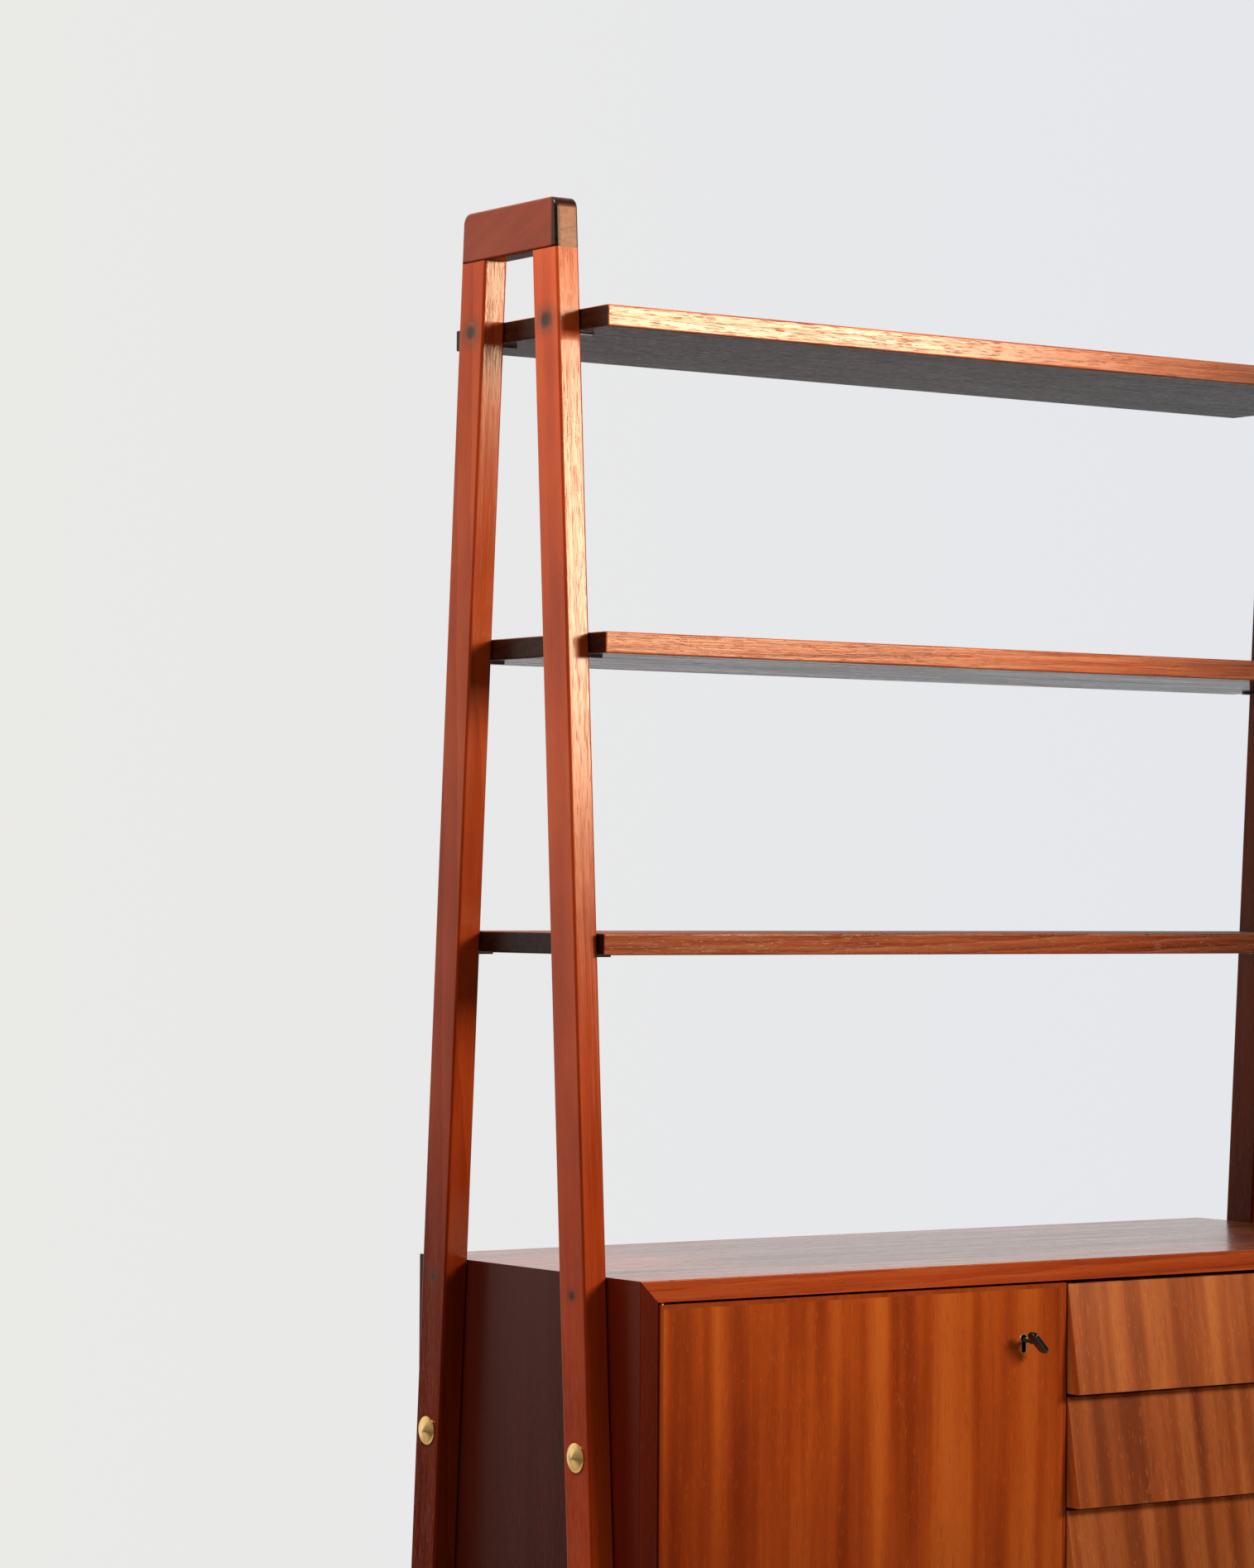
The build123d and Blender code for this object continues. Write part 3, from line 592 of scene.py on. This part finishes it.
# the cabinet's boards: lengthwise grain on the top and bottom, upright grain elsewhere
boardWood = {
    "dark": (0.250, 0.028, 0.0055), "mid": (0.460, 0.060, 0.0110), "light": (0.600, 0.102, 0.0210),
    "ribbon": 0.12, "ribbonWidth": 0.014, "rings": 0.20, "ringGap": 0.012, "streak": 0.42, "fine": 0.34,
    "blotch": 0.25, "pore": 0.42, "fleck": 0.05, "rough": 0.21, "relief": 0.28,
    # under is painted shade on the undersides; upper is a painted reflection of the pale wall on the upward
    # faces
    "end": (0.45, 0.50, 0.60), "under": (0.4, 0.4, 0.5), "upper": (0.64, 1.02, 1.50),
}
sideWood = {
    **boardWood,
    "dark": (0.042, 0.0048, 0.0024), "mid": (0.064, 0.0075, 0.0038), "light": (0.086, 0.0110, 0.0052),
    "ribbon": 0.30, "ribbonWidth": 0.040, "rings": 0.02, "streak": 0.05, "fine": 0.10, "pore": 0.12,
    "rough": 0.26, "unevenRough": 0.05, "relief": 0.05,
}
sideFade = {"from": -0.125, "to": -0.145, "tint": (1.60, 0.90, 0.25)}    # redder near the front
backWood = {**boardWood, "mid": (0.300, 0.055, 0.012), "ribbon": 0.40, "rough": 0.45}
cabinetBoards = {
    "cabinet_top": (boardWood, (1, 0, 0)),
    "cabinet_bottom": (boardWood, (1, 0, 0)),
    "cabinet_left_side": (sideWood, (0, 0, 1)),
    "cabinet_right_side": (sideWood, (0, 0, 1)),
    "cabinet_divider": (sideWood, (0, 0, 1)),
    "cupboard_shelf": (boardWood, (1, 0, 0)),
    "cabinet_back": (backWood, (0, 0, 1)),
}
for index, (nodeName, (wood, grain)) in enumerate(cabinetBoards.items()):
    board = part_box(nodeName) if nodeName == "cabinet_top" else None
    shift = (0.1 * index, 0.23 * index, 0.3)
    fades = []
    if nodeName.endswith("_side"):
        fades = [((0, sideFade["from"], 0), (0, sideFade["to"], 0), sideFade["tint"])]
    dress(nodeName, woodMaterial("teak_" + nodeName, wood, grain, shift, 1.0, (), board, fades))
print("cabinet boards ready")


# the door: ribbon-stripe veneer between narrow lippings
doorWood = {
    "dark": (0.300, 0.036, 0.0035), "mid": (0.490, 0.073, 0.0075), "light": (0.640, 0.126, 0.0160),
    "ribbon": 0.56, "ribbonWidth": 0.024, "rings": 0.00, "ringGap": 0.010, "streak": 0.06, "fine": 0.18,
    "blotch": 0.34, "pore": 0.40, "fleck": 0.16, "rough": 0.24, "unevenRough": 0.12, "relief": 0.22,
    # under is painted shade on the undersides; end is the end grain's own darker tint
    "end": (0.5, 0.5, 0.6), "under": (0.5, 0.5, 0.6),
}
lippingWood = {
    **doorWood,
    "dark": (0.220, 0.025, 0.004), "mid": (0.380, 0.050, 0.007), "light": (0.480, 0.080, 0.013),
    "ribbon": 0.10, "ribbonWidth": 0.010, "streak": 0.35, "fleck": 0.04,
}
# painted shade: the door and its lippings are painted darker towards their lower left corner, where less of
# the lamp's light falls
doorFade = {"height": 0.62, "tint": (0.58, 0.38, 0.20)}    # the height is a share of the door's
doorLow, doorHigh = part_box("door_panel")
fade = (doorLow.lerp(doorHigh, doorFade["height"]), doorLow, doorFade["tint"])
dress("door_panel", woodMaterial("mahogany_door", doorWood, (0, 0, 1), (0.4, 0.1, 0.2), fades=[fade]))
dress("door_lippings", woodMaterial("teak_lippings", lippingWood, (0, 0, 1), (0.1, 0.6, 0.2), fades=[fade]))


# the drawers: one run of veneer down all the leaning fronts, pale beech boxes behind
frontWood = {
    **doorWood,
    "dark": (0.270, 0.046, 0.0095), "mid": (0.480, 0.098, 0.020), "light": (0.680, 0.180, 0.044),
    "ribbon": 0.60, "ribbonWidth": 0.024, "pore": 0.50, "fleck": 0.24,
}
beechWood = {
    "dark": (0.420, 0.250, 0.120), "mid": (0.560, 0.370, 0.200), "light": (0.680, 0.490, 0.290),
    "ribbon": 0.15, "ribbonWidth": 0.020, "rings": 0.30, "ringGap": 0.008, "streak": 0.40, "fine": 0.30,
    "blotch": 0.25, "pore": 0.25, "fleck": 0.20, "rough": 0.50, "relief": 0.30,
    # under is painted shade on the undersides; end is the end grain's own darker tint
    "end": (0.80, 0.75, 0.70), "under": (0.9, 0.9, 0.9),
}
drawerBodies = [body for body in frame["bodies"] if body.startswith("drawer_")]
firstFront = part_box("drawer_1_front")
frontGrain = (0, doorLow.y - firstFront[0].y, firstFront[1].z - firstFront[0].z)
for index, body in enumerate(drawerBodies):
    dress(body + "_front", woodMaterial("mahogany_" + body, frontWood, frontGrain, (0.05, 0.3, 0.02)))
    boxWood = woodMaterial("beech_" + body, beechWood, (0, 1, 0), (0.3 * index, 0.1, 0.2))
    dress(body + "_left_side", boxWood)
    dress(body + "_right_side", boxWood)
    backShift, bottomShift = (0.2 * index, 0.3, 0.1), (0.2, 0.4, 0.1 * index)
    dress(body + "_back", woodMaterial("beech_" + body + "_back", beechWood, (1, 0, 0), backShift))
    dress(body + "_bottom", woodMaterial("plywood_" + body, beechWood, (1, 0, 0), bottomShift, 0.92))

runnerWood = woodMaterial("beech_runners", beechWood, (0, 1, 0), (0.7, 0.2, 0.4), 0.85)
for nodeName in ("drawer_runners_left", "drawer_runners_right"):
    dress(nodeName, runnerWood)
print("door and drawers ready:", len(drawerBodies), "drawers")


# metals: a thin tarnish in patches over fine lines
brassValues = {"colour": (1.00, 0.64, 0.22), "rough": 0.27, "tarnish": 0.08, "ringGap": 0.0006}
nickelValues = {"colour": (0.38, 0.36, 0.33), "rough": 0.34, "tarnish": 0.30}
keyValues = {"colour": (0.16, 0.15, 0.15), "rough": 0.30, "tarnish": 0.40}
glideValues = {"colour": (0.50, 0.49, 0.47), "rough": 0.36, "tarnish": 0.50}
metalFigure = {
    "lineScale": (400, 400, 400), "patchScale": (90, 90, 90),
    "tarnishRange": (0.45, 0.75), "tarnishShade": 0.45, "tarnishRough": 0.3,
    "lineRough": 0.16, "smoother": 0.06,
    "turnedShare": 0.35, "relief": 0.14, "reliefDepth": 0.00006,
}


def metalMaterial(name, metal, turned=False):
    material, tree, shader = newMaterial(name)
    place = placeOf(tree)
    lines = noiseOf(tree, place, metalFigure["lineScale"], detail=3)
    patches = noiseOf(tree, place, metalFigure["patchScale"])
    tarnish = rangeOf(tree, patches, *metalFigure["tarnishRange"], 0.0, metal["tarnish"])
    dull = scaled(metal["colour"], metalFigure["tarnishShade"])
    plugIn(tree, mixOf(tree, tarnish, (*metal["colour"], 1.0), (*dull, 1.0)), shader.inputs["Base Color"])
    shader.inputs["Metallic"].default_value = 1.0
    smoothest = metal["rough"] - metalFigure["smoother"]
    rough = mathOf(tree, "MULTIPLY_ADD", lines, metalFigure["lineRough"], smoothest)
    rough = mathOf(tree, "MULTIPLY_ADD", tarnish, metalFigure["tarnishRough"], rough)
    plugIn(tree, rough, shader.inputs["Roughness"])
    relief = lines
    if turned:
        # rings left by the lathe round the piece's own Z axis
        radius = vectorOf(tree, "LENGTH", vectorOf(tree, "MULTIPLY", place, (1.0, 1.0, 0.0)))
        turns = mathOf(tree, "MULTIPLY", radius, 2 * math.pi / metal["ringGap"])
        relief = mathOf(tree, "MULTIPLY_ADD", mathOf(tree, "SINE", turns), metalFigure["turnedShare"], lines)
    relief = bumpOf(tree, relief, metalFigure["relief"], metalFigure["reliefDepth"])
    plugIn(tree, relief, shader.inputs["Normal"])
    return material


brass = metalMaterial("brass", brassValues)
turnedBrass = metalMaterial("turnedBrass", brassValues, turned=True)
nickel = metalMaterial("nickelSteel", nickelValues)
for nodeName in ("bolt_inserts", "pivot_sockets", "door_pivots"):
    dress(nodeName, brass)
for nodeName in ("shelf_supports", "top_shelf_screws", "cupboard_shelf_pins", "strike_plate", "lock_case"):
    dress(nodeName, nickel)
dress("lock_bolt", nickel)
dress("key_shank", metalMaterial("keySteel", keyValues))

# the keyhole's liner is bright at its rim and painted near black further behind the door's face, painted
# shade inside the hole
holeValues = {"bright": 0.0010, "black": 0.0022, "insideShade": (0.02, 0.02, 0.02)}


def shadedHoleInside(tree, colour):
    bright = Vector((0, doorLow.y + holeValues["bright"], 0))
    black = Vector((0, doorLow.y + holeValues["black"], 0))
    return tinted(tree, fadeOf(tree, bright, black), colour, holeValues["insideShade"])


linerMaterial = metalMaterial("keyholeBrass", brassValues)
recolour(linerMaterial, shadedHoleInside)
dress("keyhole_liner", linerMaterial)
dress("foot_glides", metalMaterial("glideSteel", glideValues))


# the key's bow in glossy black plastic, a little rubbed
bowValues = {
    "colour": (0.008, 0.008, 0.009), "rubbed": (0.026, 0.025, 0.024),
    "newRough": 0.12, "rubbedRough": 0.30, "roughRange": (0.3, 0.8),
    "rubbedScale": 160, "rubbedRange": (0.5, 0.8),
    "grainScale": 1200, "relief": 0.15, "reliefDepth": 0.00004,
}


def bowPlastic():
    material, tree, shader = newMaterial("blackPlastic")
    rub = noiseOf(tree, placeOf(tree), (bowValues["rubbedScale"],) * 3, detail=3)
    rubbedShare = rangeOf(tree, rub, *bowValues["rubbedRange"])
    colour = mixOf(tree, rubbedShare, (*bowValues["colour"], 1), (*bowValues["rubbed"], 1))
    plugIn(tree, colour, shader.inputs["Base Color"])
    rough = rangeOf(tree, rub, *bowValues["roughRange"], bowValues["newRough"], bowValues["rubbedRough"])
    plugIn(tree, rough, shader.inputs["Roughness"])
    grain = noiseOf(tree, placeOf(tree), (bowValues["grainScale"],) * 3)
    relief = bumpOf(tree, grain, bowValues["relief"], bowValues["reliefDepth"])
    plugIn(tree, relief, shader.inputs["Normal"])
    return material


dress("key_bow", bowPlastic())
print("metals and plastic ready:", len(bpy.data.materials), "materials")


# bolts and screws are made as meshes round their own Z axis
def meshPiece(name, data, material, place, axis, body):
    piece = bpy.data.objects.new(name, data)
    bpy.context.scene.collection.objects.link(piece)
    if not data.materials:
        data.materials.append(material)
    turn = Vector((0, 0, 1)).rotation_difference(Vector(axis)).to_matrix().to_4x4()
    piece.matrix_world = Matrix.Translation(place) @ turn
    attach(piece, body)
    return piece


def turnedMesh(name, outline, segments=64):
    # an outline of radius and height, spun round Z; both of its ends lie on the axis
    mesh = bmesh.new()
    rings = []
    for radius, height in outline:
        if radius == 0:
            rings.append([mesh.verts.new((0, 0, height))] * segments)
            continue
        angles = [2 * math.pi * step / segments for step in range(segments)]
        rings.append([mesh.verts.new((radius * math.cos(a), radius * math.sin(a), height)) for a in angles])
    for lower, upper in zip(rings, rings[1:]):
        for step in range(segments):
            following = (step + 1) % segments
            corners = [lower[step], lower[following], upper[following], upper[step]]
            mesh.faces.new(list(dict.fromkeys(corners)))
    bmesh.ops.recalc_face_normals(mesh, faces=mesh.faces)
    return finishMesh(mesh, name)


def finishMesh(mesh, name, smoothBelow=35.0):
    # soft shading, with the sharp corners kept
    for face in mesh.faces:
        face.smooth = True
    for edge in mesh.edges:
        edge.smooth = edge.calc_face_angle(0.0) < math.radians(smoothBelow)
    data = bpy.data.meshes.new(name)
    mesh.to_mesh(data)
    mesh.free()
    return data


# conical brass bolts that hold the cabinet between the ladders
boltValues = {
    "headRadius": 0.01275, "rim": 0.0016, "height": 0.0050, "tipRadius": 0.0014,
    "groove": 0.0004, "shankRadius": 0.0040, "shankLength": 0.038, "shankEdge": 0.001,
    "flatTip": 0.6,                  # as a share of the tip's radius
}


def boltOutline():
    radius, rim, height = boltValues["headRadius"], boltValues["rim"], boltValues["height"]
    tip, groove = boltValues["tipRadius"], boltValues["groove"]
    shank, length, edge = boltValues["shankRadius"], boltValues["shankLength"], boltValues["shankEdge"]
    outline = [(0, -length), (shank - edge, -length), (shank, edge - length), (shank, 0)]
    outline += [(radius - groove, 0), (radius, groove), (radius, rim - groove), (radius - groove, rim)]
    # the cone sinks a little between its rim and its tip
    steps = 7
    for step in range(1, steps + 1):
        share = step / steps
        sink = groove * math.sin(math.pi * share)
        across = radius - groove + (tip - radius + groove) * share
        outline.append((across, rim + (height - rim) * share - sink))
    return outline + [(tip * boltValues["flatTip"], height), (0, height)]


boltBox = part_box("cabinet_bolts")
boltData = turnedMesh("bolt", boltOutline())
boltRows = {
    "lower": boltBox[0].z + boltValues["headRadius"],
    "upper": boltBox[1].z - boltValues["headRadius"],
}
boltCount = 0
for side, outward in (("left", -1), ("right", 1)):
    for end in ("front", "rear"):
        legName = "ladder_" + side + "_" + end + "_leg"
        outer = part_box(legName)[0 if outward < 0 else 1].x
        for row, height in boltRows.items():
            spot = Vector((outer, onLine(legLine(legName), height).y, height))
            name = "bolt_" + side + "_" + end + "_" + row
            bolt = meshPiece(name, boltData, turnedBrass, spot, (outward, 0, 0), "shelf_frame")
            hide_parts("cabinet_bolts")
            boltCount += 1
print("bolts ready:", boltCount)


# small slotted screws on the lock case and the strike plate
screwValues = {
    "radius": 0.0026, "dome": 0.00035, "slotWidth": 0.0007, "sunk": 0.0008,
    "flatTop": 0.7,                  # as a share of the radius
    "segments": 32,
}


def screwMesh(name):
    # two half domes with the slot between them, over a disc at the slot's floor
    radius, dome = screwValues["radius"], screwValues["dome"]
    half, sunk = screwValues["slotWidth"] / 2, screwValues["sunk"]
    flat, segments = screwValues["flatTop"], screwValues["segments"]
    mesh = bmesh.new()
    for side in (-1, 1):
        limit = math.acos(half / radius)
        rim = []
        for step in range(segments + 1):
            angle = -limit + 2 * limit * step / segments
            rim.append((side * radius * math.cos(angle), radius * math.sin(angle)))
        lower = [mesh.verts.new((x, y, -sunk)) for x, y in rim]
        edge = [mesh.verts.new((x, y, 0.0)) for x, y in rim]
        slotEdge = side * half
        upper = [mesh.verts.new((slotEdge + (x - slotEdge) * flat, y * flat, dome)) for x, y in rim]
        mesh.faces.new(upper)
        mesh.faces.new(lower)
        for first, second in ((lower, edge), (edge, upper)):
            for step in range(segments + 1):
                following = (step + 1) % (segments + 1)
                mesh.faces.new((first[step], first[following], second[following], second[step]))
    angles = [2 * math.pi * step / segments for step in range(segments)]
    disc = [mesh.verts.new((radius * math.cos(a), radius * math.sin(a), -sunk / 2)) for a in angles]
    base = [mesh.verts.new((vertex.co.x, vertex.co.y, -sunk)) for vertex in disc]
    mesh.faces.new(disc)
    mesh.faces.new(base)
    for step in range(segments):
        following = (step + 1) % segments
        mesh.faces.new((base[step], base[following], disc[following], disc[step]))
    bmesh.ops.recalc_face_normals(mesh, faces=mesh.faces)
    return finishMesh(mesh, name)


def screwRow(nodeName, axis, spots, body, material):
    # spots are shares of the node's box, and the screws stand on the face that axis looks out of
    low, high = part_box(nodeName)
    data = screwMesh("screw_" + nodeName)
    for number, shares in enumerate(spots):
        place = Vector(a + (b - a) * share for a, b, share in zip(low, high, shares))
        pieceName = "screw_" + nodeName + "_" + str(number + 1)
        meshPiece(pieceName, data, material, place, axis, body)


screwRow("lock_case", (0, 1, 0), [(x, 1, z) for x in (0.12, 0.88) for z in (0.15, 0.85)],
         "door", nickel)
screwRow("strike_plate", (-1, 0, 0), [(0, 0.5, 0.12), (0, 0.5, 0.88)],
         "shelf_frame", nickel)
print("screws ready")


# the studio: a pale floor, pale walls and two soft lamps
floorValues = {
    "radius": 3.0, "colour": (0.76, 0.76, 0.75), "rough": 0.6, "glow": 0.30,
    "speckle": 0.03, "speckleScale": (6, 6, 6),
}
skyValues = {
    "wall": (0.92, 0.92, 0.93),      # pale wall behind
    "wallBearing": 20.0,             # degrees from +Y towards +X
    "wallRange": (0.10, 0.60),       # how far off its bearing it ends and is full, as a cosine
    "nearGlow": -5.0,                # the wall stays bright down to the floor here,
    "nearGlowRange": (0.900, 0.975),
    "farGlow": 35.0,                 # and well below the horizon here
    "farGlowRange": (0.58, 0.76),
    "farGlowEnd": (-0.070, -0.022),
    "room": 0.03,                    # the dim room in front
    "left": 0.30,                    # a pale wall far to the left
    "leftRange": (0.72, 0.96),
    "below": 0.02,                   # the dim foot of the wall
    "belowRange": (-0.02, -0.12),
    "backgroundLeft": (0.825, 0.820, 0.800),
    "backgroundRight": (0.790, 0.800, 0.835),
    "backgroundRange": (-0.13, 0.13),
}
lampValues = {
    "keyLight": {"place": (1.30, -2.75, 2.15), "target": (-0.45, -0.1, 1.80), "size": (1.30, 0.70),
                 "spread": 58.0, "power": 16.5, "colour": (1.0, 0.95, 0.86)},
    "sideLight": {"place": (-1.50, -0.10, 2.90), "target": (-0.5, 0, 1.8), "size": (0.6, 0.6),
                  "spread": 100.0, "power": 13.0, "colour": (1.0, 0.93, 0.85)},
}
cameraValues = {
    "place": (-2.7386, -3.4125, 1.2889),
    "bearing": 34.79, "rise": 1.36, "roll": 0.371,    # degrees
    "lens": 105.7, "sensor": 36.0,   # millimetres
    "reach": 60.0,
}


def bearingVector(bearing, height=0.0):
    # bearing in degrees from +Y towards +X
    b, h = math.radians(bearing), math.radians(height)
    return Vector((math.sin(b) * math.cos(h), math.cos(b) * math.cos(h), math.sin(h)))


def makeFloor():
    mesh = bmesh.new()
    bmesh.ops.create_circle(mesh, cap_ends=True, segments=96, radius=floorValues["radius"])
    data = bpy.data.meshes.new("floor")
    mesh.to_mesh(data)
    mesh.free()
    floor = bpy.data.objects.new("floor", data)
    bpy.context.scene.collection.objects.link(floor)
    material, tree, shader = newMaterial("paleFloor")
    place = placeOf(tree)
    speckle = noiseOf(tree, place, floorValues["speckleScale"], detail=4)
    base = floorValues["colour"]
    dim = tuple(channel - floorValues["speckle"] for channel in base)
    plugIn(tree, mixOf(tree, speckle, (*base, 1), (*dim, 1)), shader.inputs["Base Color"])
    plugIn(tree, (*base, 1), shader.inputs["Emission Color"])
    shader.inputs["Emission Strength"].default_value = floorValues["glow"]
    shader.inputs["Roughness"].default_value = floorValues["rough"]
    data.materials.append(material)
    floor.location.z = cadBox[0].z


def makeSky():
    world = bpy.data.worlds.new("studio")
    world.use_nodes = True
    bpy.context.scene.world = world
    tree = world.node_tree
    background = tree.nodes["Background"]
    direction = addNode(tree, "ShaderNodeTexCoord").outputs["Generated"]

    def along(vector):
        return vectorOf(tree, "DOT_PRODUCT", direction, vector)

    towardsWall = along(bearingVector(skyValues["wallBearing"]))
    towardsLeft = along(Vector((-1, 0, 0)))
    upward = along(Vector((0, 0, 1)))
    wallShare = rangeOf(tree, towardsWall, *skyValues["wallRange"])
    leftShare = rangeOf(tree, towardsLeft, *skyValues["leftRange"])
    more = skyValues["left"] - skyValues["room"]
    level = mathOf(tree, "MULTIPLY_ADD", leftShare, more, skyValues["room"])
    room = addNode(tree, "ShaderNodeCombineXYZ")
    for axis in ("X", "Y", "Z"):
        plugIn(tree, level, room.inputs[axis])
    lit = mixOf(tree, wallShare, room.outputs[0], (*skyValues["wall"], 1))
    towardsNear = along(bearingVector(skyValues["nearGlow"]))
    towardsFar = along(bearingVector(skyValues["farGlow"]))
    nearGlow = rangeOf(tree, towardsNear, *skyValues["nearGlowRange"])
    farGlow = rangeOf(tree, towardsFar, *skyValues["farGlowRange"])
    farGlow = mathOf(tree, "MULTIPLY", farGlow, rangeOf(tree, upward, *skyValues["farGlowEnd"]))
    glow = mathOf(tree, "MAXIMUM", nearGlow, farGlow)
    belowShare = mathOf(tree, "SUBTRACT", rangeOf(tree, upward, *skyValues["belowRange"]), glow)
    belowShare = mathOf(tree, "MAXIMUM", belowShare, 0.0)
    dim = skyValues["below"]
    lit = mixOf(tree, belowShare, lit, (dim, dim, dim, 1))

    across = along(bearingVector(cameraValues["bearing"] + 90))
    rightShare = rangeOf(tree, across, *skyValues["backgroundRange"], kind="LINEAR")
    leftColour, rightColour = (*skyValues["backgroundLeft"], 1), (*skyValues["backgroundRight"], 1)
    shown = mixOf(tree, rightShare, leftColour, rightColour)
    rays = addNode(tree, "ShaderNodeLightPath")
    plugIn(tree, mixOf(tree, rays.outputs["Is Camera Ray"], lit, shown), background.inputs["Color"])


def makeLamp(name, values):
    lamp = bpy.data.lights.new(name, "AREA")
    lamp.shape = "RECTANGLE"
    lamp.size, lamp.size_y = values["size"]
    lamp.energy = values["power"]
    lamp.spread = math.radians(values["spread"])
    lamp.color = values["colour"]
    holder = bpy.data.objects.new(name, lamp)
    bpy.context.scene.collection.objects.link(holder)
    holder.location = values["place"]
    away = Vector(values["place"]) - Vector(values["target"])
    holder.rotation_mode = "QUATERNION"
    holder.rotation_quaternion = away.to_track_quat("Z", "Y")
    holder.visible_camera = False


def makeCamera():
    lens = bpy.data.cameras.new("viewCamera")
    lens.lens = cameraValues["lens"]
    lens.sensor_width = cameraValues["sensor"]
    lens.clip_end = cameraValues["reach"]
    camera = bpy.data.objects.new("viewCamera", lens)
    bpy.context.scene.collection.objects.link(camera)
    ahead = bearingVector(cameraValues["bearing"], cameraValues["rise"])
    level = bearingVector(cameraValues["bearing"] + 90)
    upright = level.cross(ahead)
    roll = math.radians(cameraValues["roll"])
    right = level * math.cos(roll) + upright * math.sin(roll)
    up = right.cross(ahead)
    turn = Matrix((right, up, -ahead)).transposed()
    camera.matrix_world = Matrix.Translation(cameraValues["place"]) @ turn.to_4x4()
    bpy.context.scene.camera = camera


makeFloor()
makeSky()
for lampName, values in lampValues.items():
    makeLamp(lampName, values)
makeCamera()
bpy.context.scene.view_settings.view_transform = "Standard"
print("floor, light and camera ready")
